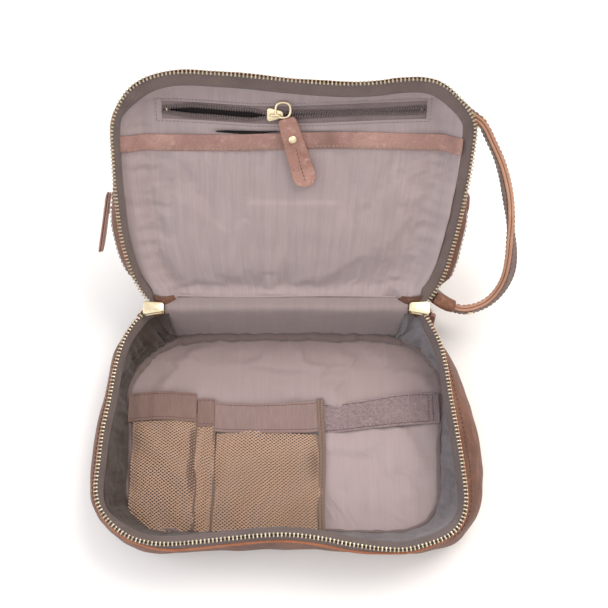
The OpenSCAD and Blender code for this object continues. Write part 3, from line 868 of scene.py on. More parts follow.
def front_share(x, y):
    """1 in the middle of the tray's front, 0 elsewhere."""
    return ease(y, -66, -80) * ease(np.abs(x + 15), 92, 58)


def both_ends(start, middle):
    """A path with its first stretch mirrored on to its far end."""
    return np.vstack([start, middle, (start * ([-1] + [1] * (start.shape[1] - 1)))[::-1]])


WALL_COUNT = 420
rim_end = np.column_stack([np.linspace(91, 98, 7), np.full(7, 88.15),
                           np.linspace(43.6, 44.6, 7)])
top_loop = even(both_ends(rim_end, tray_rim + with_z(tray_out * 0.6, 0.0)), WALL_COUNT)
for _ in range(6):
    top_loop[1:-1] = 0.25 * top_loop[:-2] + 0.5 * top_loop[1:-1] + 0.25 * top_loop[2:]

# The base plan, pulled in from the CAD plan, from the back right round to the back left.
PLAN_INSET = 1.2
half_plan = np.vstack([[(91.0, 88 - PLAN_INSET)],
                       arc(89, 48, 40 - PLAN_INSET, 90, 0, 14)[1:],
                       arc(85, -46, 44 - PLAN_INSET, 0, -90, 14)])
base_loop = even(both_ends(half_plan, np.empty((0, 2))), WALL_COUNT)
# the foot tucks in under the front
base_loop[:, 1] = np.where(base_loop[:, 1] < -40, -40 + (base_loop[:, 1] + 40) * 0.80,
                           base_loop[:, 1])

wall_out = outward(top_loop)
top_x, top_y = top_loop[:, 0], top_loop[:, 1]
frontal = front_share(top_x, top_y)
# how far the leather bellies out: right side twice, left side twice, front, then less at
# the hinge
belly = (3.5 + 9.5 * ease(top_x, 40, 112) * ease(top_y, 75, -10) * ease(top_y, -95, -30)
         + 3.0 * ease(top_x, 60, 110) * ease(top_y, 70, 10)
         + 1.5 * ease(top_x, -60, -120) * ease(top_y, 60, -20)
         + 3.6 * ease(top_x, -70, -116) * ease(top_y, -80, -20)
         + 0.8 * ease(top_y, -60, -88)) * ease(top_y, 87, 66)
# share of the height down from the edge, share of the belly, share of the way to the base
TRAY_PROFILE = [
    (0.0, 0.0, 0.0), (0.035, 0.12, 0.0), (0.10, 0.36, 0.02), (0.20, 0.66, 0.06),
    (0.32, 0.88, 0.15), (0.46, 1.0, 0.30), (0.60, 0.98, 0.47), (0.74, 0.84, 0.66),
    (0.86, 0.60, 0.83), (0.945, 0.30, 0.95), (0.985, 0.08, 1.0)]
front_tuck = ease(top_y, -50, -78)
tuck_power = 0.5 + 0.25 * ease(top_x, -62, -104) + 0.10 * ease(top_x, 80, 108)
rows = []
for drop, swell, lean_in in TRAY_PROFILE:
    to_base = (lean_in * (1 - front_tuck) + drop ** tuck_power * front_tuck)[:, None]
    plan = (top_loop[:, :2] + wall_out * (2.3 * frontal)[:, None]) * (1 - to_base)
    plan = plan + base_loop * to_base + wall_out * (belly * swell)[:, None]
    rows.append(with_z(plan, (top_loop[:, 2] - 4.2) * (1 - drop) + 0.6 * drop))
gusset = np.stack(rows, 1)
slack = np.array([math.sin(math.pi * min(1, row[0] * 1.05)) for row in TRAY_PROFILE])
wrinkle = (noise(gusset * [1, 1, 0.5], 46, seed=3) * 1.1
           + noise(gusset * [1, 1, 2.2], 17, seed=4) * 0.45) * slack[None, :]
gusset[..., :2] += wall_out[:, None, :] * wrinkle[..., None]
put(grid("tray_gusset_leather", gusset, "leather_brown_creased", thick=1.8, offset=-1, sub=1),
    "tray", "leather", "tray_gusset")

# Rim piping: the raw tan edge of the leather just under the zip.
piping = top_loop + np.column_stack([wall_out * (0.45 + 2.0 * frontal)[:, None],
                                     -3.6 - 0.6 * frontal])
piping_radius = 1.0 + 0.05 * ease(top_y, -60, -90) + 0.15 * noise(top_loop, 30, seed=8)
put(tube("tray_rim_piping_edge", piping, piping_radius, "leather_edge_tan"),
    "tray", "leather_edge", "tray_rim_piping")

seam = gusset[:, 2] + with_z(wall_out * 0.1, 0.0)
sew("tray_rim_stitching", "tray", seam[8:-8], unit(with_z(wall_out, 0.6))[8:-8],
    "thread_brown", pitch=3.6, length=2.6, radius=0.3)


# ---- tray zip -----------------------------------------------------------------------

# The inner half of the tape lies flatter at the front and narrows towards the hinge.
TRAY_TAPE_WIDTH = 9.6
slope = np.radians(70 - 22 * ease(tray_rim[:, 1], -60, -85))
fade = end_fade(0.03)
rows = []
for share in np.linspace(0, 1, 7):
    reach = TRAY_TAPE_WIDTH * share
    inset = -(0.9 + reach * np.cos(slope)) * (0.35 + 0.65 * fade)
    rows.append(with_z(tray_rim[:, :2] + tray_out * inset[:, None],
                       tray_rim[:, 2] - 0.2 - reach * np.sin(slope)))
tray_tape = np.stack(rows, 1)
tray_tape[..., 2] += noise(tray_tape, 24, seed=12) * 0.35 * np.linspace(0, 1, 7)[None, :]
put(grid("tray_zip_tape_woven", tray_tape, "zip_tape_twill", thick=0.7, flip=True),
    "tray", "tape", "tray_zip_tape")


def zip_teeth(body, rim, out, up, tilt, phase):
    """Metal teeth along a rim: a clamp round the tape with a raised head and nib."""
    pitch = 2.75
    tooth = join([box_shape(1.5, 1.25, 2.2, 0.3, (-0.3, 0, 0)),
                  box_shape(1.7, 1.05, 1.5, 0.38, (1.0, 0, 0)),
                  box_shape(0.6, 0.5, 0.6, 0.15, (1.1, 0, 0.8))])
    tilt = math.radians(tilt)
    path = rim - out * 0.6
    along = arc_length(path)
    at = 4.5 + phase * pitch + np.arange(int((along[-1] - 9) / pitch)) * pitch
    at = at[at < along[-1] - 3.5]
    head = unit(sample(at, along, out * math.cos(tilt) + up * math.sin(tilt)))
    top = unit(sample(at, along, up * math.cos(tilt) - out * math.sin(tilt)))
    shape = copies(tooth, at=sample(at, along, path), along=head,
                   across=unit(np.cross(top, head)), up=top)
    put(mesh(f"{body}_zip_teeth_row", *shape, "teeth_aged_brass", smooth=False),
        body, "brass", f"{body}_zip_teeth")


zip_teeth("tray", tray_rim, with_z(tray_out, 0.0), UP, tilt=10, phase=0.0)

# the tape's outer half, down from the teeth to the leather edge
spread = 0.5 + 2.3 * front_share(tray_rim[:, 0], tray_rim[:, 1])
rows = [with_z(tray_rim[:, :2] + tray_out * (0.1 + spread * share)[:, None],
               tray_rim[:, 2] - 0.7 - 3.9 * share) for share in np.linspace(0, 1, 5)]
put(grid("tray_zip_tape_outer", np.stack(rows, 1), "zip_tape_twill", thick=0.6),
    "tray", "tape")


# ---- tray base ----------------------------------------------------------------------

# A soft leather sheet under the bag, with a board above it.
BASE_CENTRE = np.array([0.0, 2.0])
back_edge = np.column_stack([np.linspace(base_loop[-1, 0], base_loop[0, 0], 60)[1:-1],
                             np.full(58, base_loop[0, 1])])
base_outline = np.vstack([base_loop, back_edge])
rings = []
for share in np.concatenate([[1.0, 0.985, 0.965], np.linspace(0.93, 0.03, 22)]):
    plan = BASE_CENTRE + (base_outline - BASE_CENTRE) * share
    sag = 0.3 * (noise(plan, 50, seed=131) + 1) * ease(1 - share, 0, 0.2) * 0.6
    rings.append(with_z(plan, 0.35 + 1.4 * ease(share, 0.955, 1.0) + sag))
base_rings = np.stack(rings, 1)
base = disc("base_panel_leather", base_rings, base_rings[..., :2], (*BASE_CENTRE, 0.5),
            "leather_brown", facing=UP)
thicken(base, 1.2, offset=1)
put(base, "tray", "leather", "base_panel")
board = (BASE_CENTRE + (base_outline - BASE_CENTRE) * 0.955)[::5]
put(mesh("base_board_sheet", *plate(board, 1.2, 0.3, z0=2.2), "board_fibre"),
    "tray", "base_board", "base_board")


# ---- tray floor and wall lining ----------------------------------------------------------

# Floor outline, from the back right round the front: x, distance from the hinge.
FLOOR = [
    (60, 7), (82, 8.2), (98, 14.5), (111.5, 28), (117.5, 44), (117.5, 62), (113.5, 92),
    (111.5, 120), (109, 138), (101, 151), (86, 157), (66, 158.5), (40, 158), (0, 157),
    (-40, 157.5), (-80, 158), (-97, 155), (-109, 146), (-115, 130), (-115.5, 100),
    (-118, 70), (-119, 50), (-113, 35), (-102.5, 21.5), (-88, 11.5), (-60, 7)]
FLOOR_CENTRE = np.array([0.0, 8.0])
floor_loop = spline(FLOOR, 420, closed=True)
floor_loop[:, 1] = tray_y(floor_loop[:, 1])


def floor_z(x, y):
    """Level of the cloth floor: soft rises and dips, with two folds near the back."""
    p = np.stack([np.asarray(x, float), np.asarray(y, float)], -1)
    inside = ease(np.abs(x), 112, 92) * ease(y, -68, -52) * ease(y, 80, 66)
    fold = (2.6 * bell((y - 44) + (x + 20) * 0.22, 0, 7.5)
            * ease(x, -62, -20) * ease(x, 72, 30))
    fold = fold + 1.3 * bell((y - 56) + x * 0.05, 0, 5)
    return 5.0 + (1.5 * noise(p, 95, seed=21) + 0.7 * noise(p, 33, seed=22) + fold) * inside


def tray_floor():
    rings = []
    for share in np.linspace(1, 0.0, 34)[:-1]:
        plan = FLOOR_CENTRE + (floor_loop - FLOOR_CENTRE) * share
        rings.append(with_z(plan, floor_z(plan[:, 0], plan[:, 1])))
    rings = np.stack(rings, 1)
    centre = (*FLOOR_CENTRE, float(floor_z(*FLOOR_CENTRE)))
    ob = disc("tray_floor_cloth", rings, rings[..., :2], centre, "lining_cloth_floor")
    points = mesh_points(ob.data)
    edge_gap = np.array([np.min(np.hypot(*(floor_loop[::4] - p[:2]).T)) for p in points])
    # held flat under the pockets
    under = ease(points[:, 1], 42, 26) * ease(points[:, 0], 34, 22)
    settle(ob, 1 - ease(edge_gap, 3, 9), pressure=2.5, grow=0.035,
           limit=2.6 * (1 - 0.8 * under), away=UP)
    thicken(ob, 0.8)
    put(ob, "tray", "lining", "tray_floor_lining")


def tray_wall():
    """Slack lining from the foot of the tape down to the floor, creased down its height."""
    foot = spline(FLOOR[1:-1], RIM_COUNT)
    foot[:, 1] = tray_y(foot[:, 1])
    end_count, row_count = 14, 16
    step = np.linspace(0, 1, end_count, endpoint=False)[:, None]
    tape_foot = tray_tape[:, -1]
    top_start, foot_start = np.array([87.5, 85.6, 44.0]), np.array([86.0, 81.4])
    top = both_ends(top_start + (tape_foot[0] - top_start) * step, tape_foot)
    foot = both_ends(foot_start + (foot[0] - foot_start) * step, foot)
    down = np.linspace(0, 1, row_count)
    rows = [with_z(top[:, :2] * (1 - k ** 0.85) + foot * k ** 0.85,
                   top[:, 2] * (1 - k) + 5.2 * k) for k in down]
    wall = np.stack(rows, 1)
    y = wall[..., 1]
    slack = np.sin(np.pi * down)[None, :]
    q = np.stack(np.meshgrid(np.linspace(-18, 778, len(top)), np.linspace(0, 42, row_count),
                             indexing="ij"), -1)
    fold = (2.4 * noise(q * [1, 0.16], 30, seed=31) + 1.5 * noise(q * [1, 0.30], 13, seed=32)
            + 0.7 * noise(q, 9, seed=33))
    sag = 2.4 - 5.2 * ease(y, 46, 76)
    ends = np.concatenate([np.linspace(0.3, 1, end_count), np.ones(RIM_COUNT),
                           np.linspace(1, 0.3, end_count)])[:, None]
    push = (fold * (1 + 0.9 * ease(y, 30, 75)) - sag) * slack
    push = push * (0.6 + 0.4 * ease(y, -66, -50)) * ends
    wall[..., :2] -= outward(top)[:, None, :] * push[..., None]
    # the wall cloth's material paints shade on its left and cool light on its right
    put(grid("tray_wall_cloth", wall, "lining_cloth_wall_two_tone", thick=0.8, sub=1),
        "tray", "lining", "tray_wall_lining")


def floor_binding():
    """Rolled binding along the foot of the wall, fatter at the back."""
    roll = with_z(floor_loop, 6.2)
    roll[:, :2] += outward(roll) * -0.2
    roll[:, 2] += 0.7 * noise(roll, 24, seed=41)
    roll[:, :2] += (0.8 * noise(roll, 20, seed=42))[:, None] * outward(roll)
    back = ease(roll[:, 1], 30, 76)
    radius = (1.7 + 1.5 * back + (0.35 + 0.25 * back) * noise(roll, 14, seed=43)
              + (0.22 + 0.3 * back) * noise(roll, 5, seed=44))
    roll[:, 2] += 1.1 * back
    put(tube("tray_floor_binding_roll", roll, radius, "seam_binding", 10, closed=True),
        "tray", "binding", "tray_floor_binding")
    roll[:, 2] += radius * 0.9
    sew("tray_binding_stitching", "tray", roll, UP, "thread_grey",
        pitch=3.2, length=2.2, radius=0.2)


tray_floor()
tray_wall()
floor_binding()


# ---- spine: leather outside, cloth inside, curved over the hinge ----------------------------

# ends of the bending zone between tray and lid, in metres
# (y, z) up the tray's back, over the hinge and down the lid's
SPINE_OUTER = [
    (86.6, 0.8), (87.9, 2.6), (88.1, 12), (88.1, 26), (88.0, 38), (88.3, 43.4), (89.4, 45.3),
    (91.4, 44.6), (94.6, 41.8), (99.6, 37.5), (104.2, 33.6), (105.2, 32.2)]
SPINE_INNER = [
    (81.5, 6.4), (84.0, 9.5), (85.2, 16), (85.4, 26), (85.0, 35), (85.4, 41.5), (87.0, 45.8),
    (89.6, 47.3), (93.4, 46.0), (98.0, 43.0), (101.4, 40.6), (102.3, 39.9)]


def spine_sheet(name, profile, half_start, half_end, material, thick, ripple, seed,
                nodes):
    profile = spline(profile, 40)
    across = np.linspace(-1, 1, 61)
    share = np.linspace(0, 1, len(profile))
    x = np.outer(across, half_start * (1 - share) + half_end * share)
    sheet = np.stack(np.broadcast_arrays(x, profile[:, 0], profile[:, 1]), -1)
    push = noise(sheet * [0.35, 1, 1], 15, seed) * ripple
    push = (push + noise(sheet, 44, seed + 1) * ripple * 0.8) * np.sin(np.pi * share) ** 0.7
    sheet[..., 1] -= push * 0.6
    sheet[..., 2] += push * 0.6
    ob = grid(name, sheet, material, thick=thick, offset=-1, sub=1)
    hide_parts(*nodes)
    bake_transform(ob)


spine_sheet("spine_leather", SPINE_OUTER, half_start=92.5, half_end=92.5,
            material="leather_brown", thick=1.7, ripple=0.18, seed=51,
            nodes=("tray_spine", "lid_spine"))
spine_sheet("spine_lining_cloth", SPINE_INNER, half_start=88.5, half_end=91.5,
            material="lining_cloth_spine", thick=0.8, ripple=0.55, seed=55,
            nodes=("tray_spine_lining", "lid_spine_lining"))


# ---- net pockets ------------------------------------------------------------------------

def left_height(x, l):
    inside = ease(x, -116, -106) * ease(x, -66, -74)
    fold = bell((x + 95) + (l - 120) * 0.25, 0, 7) * ease(l, 92, 116) * ease(l, 156, 132)
    q = np.stack([x, l], -1)
    return (8.2 + 4.6 * ease(l, 156, 118) * inside * ease(l, 60, 92)
            + 2.4 * ease(l, 80, 64) + 0.9 * fold
            + 1.7 * noise(q, 32, seed=61) + 0.8 * noise(q * [1, 0.4], 14, seed=66))


def pen_height(x, l):
    return 7.4 + 1.6 * ease(l, 156, 100) + 0.7 * noise(np.stack([x, l], -1), 34, seed=62)


def centre_height(x, l):
    inside = ease(x, -54, -40) * ease(x, 25, 8)
    crease = -1.9 * bell((x + 44) + (l - 96) * 0.20, 0, 4.5) * ease(l, 88, 110)
    q = np.stack([x, l], -1)
    return (8.2 + 3.6 * ease(l, 158, 118) * inside * ease(l, 68, 96)
            + 1.7 * noise(q, 44, seed=63) + 0.9 * noise(q * [1, 0.4], 17, seed=64)
            + crease - 0.7 * ease(x, 17, 24))


def net(side, x0, x1, l0, l1, height, seed, corner=0.0, stretch=0.0):
    """Knotted diamond mesh, really open, laid over the swelling pocket.

    l0 and l1 are distances from the hinge; corner rounds the front left corner."""
    cell_x, cell_y, radius = 1.5, 1.16, 0.33
    nx, ny = int(round((x1 - x0) / cell_x)), int(round((l1 - l0) / cell_y))

    def knot(i, j):
        u, v = i / nx, j / ny
        x, l = x0 + (x1 - x0) * u, l0 + (l1 - l0) * v
        x += 0.16 * math.sin(i * 2.3 + j * 1.7)
        x += 1.6 * math.sin(v * 5 + seed) * (u * (1 - u)) * 4 * 0.6
        l += 0.14 * math.sin(i * 1.3 + j * 2.9) + stretch * (u - 0.5) * (1 - v) * v * 4
        l += 0.8 * math.sin(u * 6 + v * 3 + seed)
        return x, l

    threads = []
    for j in range(ny):
        for i in range(j % 2, nx + 1, 2):
            for i2 in (i + 1, i - 1):
                if 0 <= i2 <= nx:
                    threads.append((knot(i, j), knot(i2, j + 1)))
    threads = np.array(threads)
    if corner:
        x, l = threads.mean(1).T
        cx, cl = x0 + corner, l1 - corner
        outside = (x < cx) & (l > cl) & ((x - cx) ** 2 + (l - cl) ** 2 > corner ** 2)
        threads = threads[~outside]
    x, l = threads.reshape(-1, 2).T
    lines = over_floor(x, l, height(x, l)).reshape(-1, 2, 3)
    knots = np.unique(np.round(lines.reshape(-1, 3), 3), axis=0)
    front = join([wire(lines, radius),
                  copies(box_shape(0.95, 0.85, 0.62, 0.0), knots, *np.eye(3))])
    # a second layer just below, offset like the knit's back loops but near-black: painted shade that
    # makes the holes read dark
    verts, faces = join([front, wire(lines + [cell_x, 0, -0.75], radius * 1.25)])
    ob = mesh(f"net_pocket_{side}_mesh", verts, faces, ("net_thread", "net_thread_back"))
    in_front = len(front[1])
    ob.data.polygons.foreach_set("material_index",
                                 [0] * in_front + [1] * (len(faces) - in_front))
    put(ob, "tray", "net", f"mesh_pocket_{side}")


net("left", -113.5, -67.0, 76.2, 157.5, left_height, seed=1, corner=13)
net("pen", -67.0, -53.5, 79.6, 157.8, pen_height, seed=2)
net("centre", -53.5, 25.5, 85.2, 158.2, centre_height, seed=3, stretch=2.2)

# seams at the right edges of the left and pen pockets
for side, seam_x, start, height in (("left", -67.0, 70, left_height),
                                    ("pen", -53.6, 74, pen_height)):
    l = np.linspace(start, 158, 60)
    seam_z = np.minimum(height(np.full(60, seam_x), l), 8.3) + 0.3
    put(tube("net_seam_" + side, over_floor(seam_x + 0.5 * np.sin(l / 9), l, seam_z),
             0.95 + 0.15 * np.sin(l * 2.1), "net_tape"), "tray", "binding")

# flat tape down the centre net's right edge, crowned across its width
l = np.linspace(58, 158.5, 70)
edge_path = over_floor(25.8 + 0.7 * np.sin(l / 13), l,
                       8.3 + 1.8 * bell(l, 62, 14) + 0.9 * np.sin(l / 11))
along = tangents(edge_path)
across = unit(LID_X - along * (along @ LID_X)[:, None])
over = unit(np.cross(along, across))
over *= np.sign(over[:, 2:3] + 1e-9)
TAPE_WIDTH, TAPE_CROWN = 4.4, 0.5
rows = [edge_path + across * TAPE_WIDTH * share + over * TAPE_CROWN * (1 - 4 * share ** 2)
        for share in np.linspace(-0.5, 0.5, 5)]
put(grid("net_edge_tape_strip", np.stack(rows, 1), "net_tape", thick=1.2),
    "tray", "binding", "mesh_edge_tape")
sew("net_edge_stitching", "tray", edge_path + [0, 0, 1.25], UP, "thread_brown",
    pitch=2.8, length=2.0, radius=0.2)


# ---- elastic bands and loop band ------------------------------------------------------------

def band_points(x, share, rear, front, height, lift=0.0):
    """Points on a band; share runs from its rear edge to its front edge."""
    return over_floor(x, rear(x) * (1 - share) + front(x) * share, height(x, share) + lift)


def band_grid(x0, x1, count, row_count, *shape):
    x, share = np.meshgrid(np.linspace(x0, x1, count), np.linspace(0, 1, row_count),
                           indexing="ij")
    return band_points(x, share, *shape)


def elastic(side, x0, x1, rear, front, height, material, count):
    """Elastic webbing with a soft swell and a row of thread at each edge."""
    name = "elastic_band_" + side
    put(grid(name, band_grid(x0, x1, count, 15, rear, front, height), material,
             thick=1.5, sub=1), "tray", "elastic", "elastic_" + side)
    for share, tag in ((0.10, "top"), (0.90, "bottom")):
        row = band_points(np.linspace(x0 + 0.6, x1 - 0.6, count), share, rear, front, height,
                          lift=0.78)
        sew(f"{name}_stitching_{tag}", "tray", row, UP, "thread_red",
            pitch=2.5, length=2.1, radius=0.24, lift=0.12)


elastic("left", -118.5, -67.2,
        rear=lambda x: 53.5 - 1.2 * np.sin((x + 118) / 17),
        front=lambda x: 76.5 - 0.8 * np.sin((x + 118) / 16),
        height=lambda x, k: (8.6 + 3.6 * np.sin(np.pi * ease(x, -123, -63)) * (0.55 + 0.45 * k)
                             + 0.35 * np.sin(x * 0.5)),
        material="elastic_rib_brown", count=60)
elastic("pen", -66.6, -53.4, rear=lambda x: 57.5, front=lambda x: 80,
        height=lambda x, k: 7.9 + 1.2 * np.sin(np.pi * (x + 67) / 14),
        material="elastic_rib_brown", count=16)
elastic("centre", -53.6, 26.4,
        rear=lambda x: 59.8 + 2.6 * np.sin((x + 53) / 79 * np.pi * 1.15),
        front=lambda x: 84 + 1.8 * np.sin((x + 53) / 79 * np.pi),
        height=lambda x, k: (8.4 + 4.4 * np.sin(np.pi * ease(x, -58, 32))
                             * (0.6 + 0.4 * np.sin(np.pi * k)) + 0.4 * np.sin(x * 0.33)),
        material="elastic_rib", count=80)

# Fuzzy loop band on the right: rear edge, front edge, height.
LOOP_BAND = (lambda x: 60.5 - 8.4 * ease(x, 40, 116) + 0.9 * np.sin(x / 17),
             lambda x: 84.5 - 8.4 * ease(x, 34, 112) + 0.8 * np.sin(x / 14 + 1),
             lambda x, k: (7.1 + 1.7 * np.sin(np.pi * ease(x, 24, 112))
                           + 1.0 * np.sin(np.pi * k) + 0.35 * np.sin(x / 6)))
put(grid("loop_band_cloth", band_grid(26.0, 114.5, 110, 22, *LOOP_BAND), "loop_pile",
         thick=1.5, sub=1), "tray", "loop_pile", "loop_band_right")

# short fibres standing on it
FIBRES = 9000
rng = np.random.RandomState(11)
fibre_x = rng.uniform(26.6, 114, FIBRES)
fibre_share = rng.uniform(0.02, 0.98, FIBRES)
root = band_points(fibre_x, fibre_share, *LOOP_BAND, lift=0.6)
way = [rng.normal(0, 0.9, FIBRES), rng.normal(0, 0.9, FIBRES), np.full(FIBRES, 0.75)]
tip = root + unit(np.column_stack(way)) * rng.uniform(0.9, 1.7, FIBRES)[:, None]
put(mesh("loop_band_fibres", *wire(np.stack([root, tip], 1), 0.055, sides=3), "loop_pile"),
    "tray", "loop_pile")

# two thread rows across its right end, then one along each edge
band_rows = [(x, np.linspace(0.04, 0.96, 20)) for x in (106.2, 109.6)]
band_rows += [(np.linspace(27, 106, 60), share) for share in (0.07, 0.93)]
for i, (x, share) in enumerate(band_rows):
    row = sew(f"loop_band_thread_{i + 1}", "tray",
              band_points(x, share, *LOOP_BAND, lift=0.95), UP, "thread_red",
              pitch=2.4, length=1.9, radius=0.22)
    if i == 0:
        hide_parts("loop_band_stitching")


# ---- lid leather shell ----------------------------------------------------------------------

lid_out = -outward(lid_rim)  # in the lid's own plane
lid_edge = from_lid(lid_rim)
lid_away = lid_out[:, :1] * LID_X + lid_out[:, 1:] * LID_UP
rim_x, rim_up = lid_rim[:, 0], lid_rim[:, 1]
LID_CENTRE = np.array([0.0, 86.0])
LID_DEPTH = 22.3
# bulge of the two sides, fading out at the hinge
bulge = (0.6 + 7.6 * ease(rim_x, 60, 116) * ease(rim_up, 98, 58) * ease(rim_up, 4, 26)
         + 6.0 * ease(rim_x, -60, -118) * ease(rim_up, 110, 60)
         * ease(rim_up, 4, 34)) * ease(rim_up, 2, 24)
# the top of the soft lid leans in behind its rim, and the sides a little
topness = ease(lid_out[:, 1], 0.15, 0.75)
lean = 0.62 * topness + 0.10 * (1 - topness)
# depth, offset out from the rim, share of the bulge
LID_PROFILE = [
    (3.0, 0.3, 0.0), (3.6, 0.9, 0.05), (5.5, 1.3, 0.35), (8.5, 1.5, 0.75), (12.0, 1.5, 1.0),
    (15.5, 1.3, 0.95), (18.6, 0.6, 0.7), (20.6, -0.8, 0.4), (21.8, -2.6, 0.15),
    (LID_DEPTH, -4.6, 0.0)]
rows = []
for depth, offset, share in LID_PROFILE:
    reach = offset + bulge * share - lean * max(0.0, depth - 2.5)
    plan = lid_rim[:, :2] + lid_out * reach[:, None]
    plan[:, 1] = np.maximum(plan[:, 1], 0.4)
    rows.append(with_z(plan, depth + lid_rim[:, 2] * max(0, 1 - depth / 12)))
shell = np.stack(rows, 1)
gusset = from_lid(shell)
wrinkle = ((noise(gusset, 40, seed=81) * 0.8 + noise(gusset, 15, seed=82) * 0.3)
           * np.sin(np.pi * np.linspace(0, 1, len(LID_PROFILE)))[None, :])
gusset = gusset + lid_away[:, None, :] * wrinkle[..., None]
put(grid("lid_gusset_leather", gusset, "leather_brown", thick=1.8, offset=-1, flip=True,
         sub=1), "lid", "leather", "lid_gusset")


def panel_swell(plan):
    return 0.9 * noise(plan, 70, seed=83) + 0.35 * noise(plan, 24, seed=84)


# Outer face: a soft, slightly domed panel with a groove for its zip.
OUTER_ZIP_UP = 74.0
shell_edge = shell[:, -1, :2]
hinge_edge = np.column_stack([np.linspace(shell_edge[-1, 0], shell_edge[0, 0], 90)[1:-1],
                              np.full(88, 1.2)])
panel_outline = np.vstack([shell_edge, hinge_edge])
rings = []
for share in np.concatenate([np.linspace(1, 0.9, 5), np.linspace(0.86, 0.04, 24)]):
    plan = LID_CENTRE + (panel_outline - LID_CENTRE) * share
    inside = ease(1 - share, 0, 0.35)
    groove = 0.9 * bell(plan[:, 1], OUTER_ZIP_UP, 5.5) * (np.abs(plan[:, 0]) < 119)
    rings.append(with_z(plan, LID_DEPTH + 0.9 * ease(1 - share, 0, 0.05) + 2.6 * inside
                        + panel_swell(plan) * inside - groove))
panel = np.stack(rings, 1)
panel_world = from_lid(panel)
ob = disc("lid_outer_panel_leather", panel_world, panel[..., :2],
          panel_world[:, -1].mean(0), "leather_brown", facing=LID_BACK)
thicken(ob, 1.8, offset=-1)
put(ob, "lid", "leather", "lid_panel")

# raw edge and its stitch row
piping_out = 0.2 + 0.6 * ease(bulge, 2, 5) - 1.9 * (lean / 0.5)
put(tube("lid_rim_piping_edge", lid_edge + lid_away * piping_out[:, None] + LID_BACK * 3.3,
         0.95 + 0.12 * noise(lid_edge, 20, seed=85), "leather_edge_tan"),
    "lid", "leather_edge", "lid_rim_piping")
seam = gusset[:, 4] + lid_away * 0.05
sew("lid_rim_stitching", "lid", seam[6:-6], unit(lid_away[6:-6]), "thread_brown",
    pitch=3.6, length=2.6, radius=0.28)


# ---- lid zip --------------------------------------------------------------------------------

# the tape is steeper on both sides, most on the left, and wider at the top
slope = np.radians(16 + 46 * ease(rim_x, -92, -114) * ease(rim_up, 166, 140)
                   + 16 * ease(rim_x, 100, 124) * ease(rim_up, 160, 140))
tape_width = 8.8 + 1.2 * ease(rim_up, 150, 168)
fade = end_fade(0.025)
rows = []
for share in np.linspace(0, 1, 7):
    reach = tape_width * share
    inset = -(0.9 + reach * np.cos(slope)) * (0.4 + 0.6 * fade)
    rows.append(with_z(lid_rim[:, :2] + lid_out * inset[:, None],
                       lid_rim[:, 2] + 0.4 + reach * np.sin(slope)))
lid_tape = np.stack(rows, 1)
tape_world = from_lid(lid_tape)
ripple = noise(tape_world, 26, seed=86) * 0.45 * np.linspace(0, 1, 7)[None, :]
put(grid("lid_zip_tape_woven", tape_world - LID_BACK * ripple[..., None], "zip_tape_twill",
         thick=0.7, flip=True), "lid", "tape", "lid_zip_tape")
zip_teeth("lid", lid_edge, lid_away, -LID_BACK, tilt=8, phase=0.5)


# ---- lid lining -----------------------------------------------------------------------------

# Window in the lining for the inner zip, in the lid's plane.
WINDOW_X = (-87.6, 98.6)
WINDOW_UP = (139.4, 153.2)


def rim_distance(x, up):
    """How far inside the rim outline a point is (the hinge side counts as open)."""
    x, up = np.broadcast_arrays(x, up)
    points = np.stack([x, up], -1).reshape(-1, 2)
    outline = lid_rim[None, ::2, :2]
    nearest = [np.sqrt(((points[i:i + 2000, None] - outline) ** 2).sum(-1)).min(1)
               for i in range(0, len(points), 2000)]
    return np.concatenate(nearest).reshape(x.shape)


def lining_depth(x, up):
    gap = rim_distance(x, up)
    edge = 3.6 + 5.4 * ease(x, -90, -116)
    q = np.stack([x, up], -1)
    depth = edge + (15.2 - edge) * ease(gap, 7.5, 22.0) ** 0.8
    depth = depth + ((0.55 * noise(q, 60, seed=91) + 0.30 * noise(q, 22, seed=92))
                     * ease(gap, 12, 34))
    # tugs along the rim and puckers under the top
    depth = depth + 0.8 * noise(q * [0.35, 1.0], 10, seed=93) * bell(gap, 19, 9)
    depth = depth + 0.9 * noise(q * [1.0, 0.3], 11, seed=94) * bell(up, 158.5, 4)
    flat = (ease(x, -102, -92) * ease(x, 112, 102)
            * ease(up, 130, 137) * ease(up, 157.5, 154.5))
    # the slip pocket's lip stands open here
    mouth = 4.6 * bell(up - 0.02 * x, 131.6, 2.7) * ease(x, -56, -40) * ease(x, 4, -10)
    return (depth * (1 - flat) + (14.7 + 0.25 * noise(q, 26, seed=90)) * flat
            + 1.8 * ease(up, 121, 114) + mouth)


def zip_sag(x, up=None):
    """How far the pocket zip droops in its soft window, fading above and below it."""
    x = np.asarray(x, float)
    sag = (-4.0 * bell(x, -12, np.where(x < -12, 44.0, 74.0))
           * ease(x, -96, -70) * ease(x, 106, 80))
    return sag if up is None else sag * ease(up, 127, 136) * ease(up, 158.5, 153.8)


def sagging(x, up, lift):
    """A path on the lining, drooping with the zip and raised by lift."""
    return lid(x, up + zip_sag(x, up), lining_depth(x, up) - lift)


def cut_window(me):
    bm = bmesh.new()
    bm.from_mesh(me)
    planes = [((x * MM, 0, 0), LID_X) for x in WINDOW_X]
    planes += [(tuple(lid(0, up, 12) * MM), LID_UP) for up in WINDOW_UP]
    for point, normal in planes:
        bmesh.ops.bisect_plane(bm, geom=list(bm.verts) + list(bm.edges) + list(bm.faces),
                               plane_co=point, plane_no=tuple(normal), dist=1e-7)
    inside = []
    for f in bm.faces:
        centre = np.array(f.calc_center_median()) / MM
        up = (centre - lid(0, 0, 0)) @ LID_UP
        if WINDOW_X[0] < centre[0] < WINDOW_X[1] and WINDOW_UP[0] < up < WINDOW_UP[1]:
            inside.append(f)
    bmesh.ops.delete(bm, geom=inside, context="FACES")
    bm.to_mesh(me)
    bm.free()
    me.polygons.foreach_set("use_smooth", [True] * len(me.polygons))


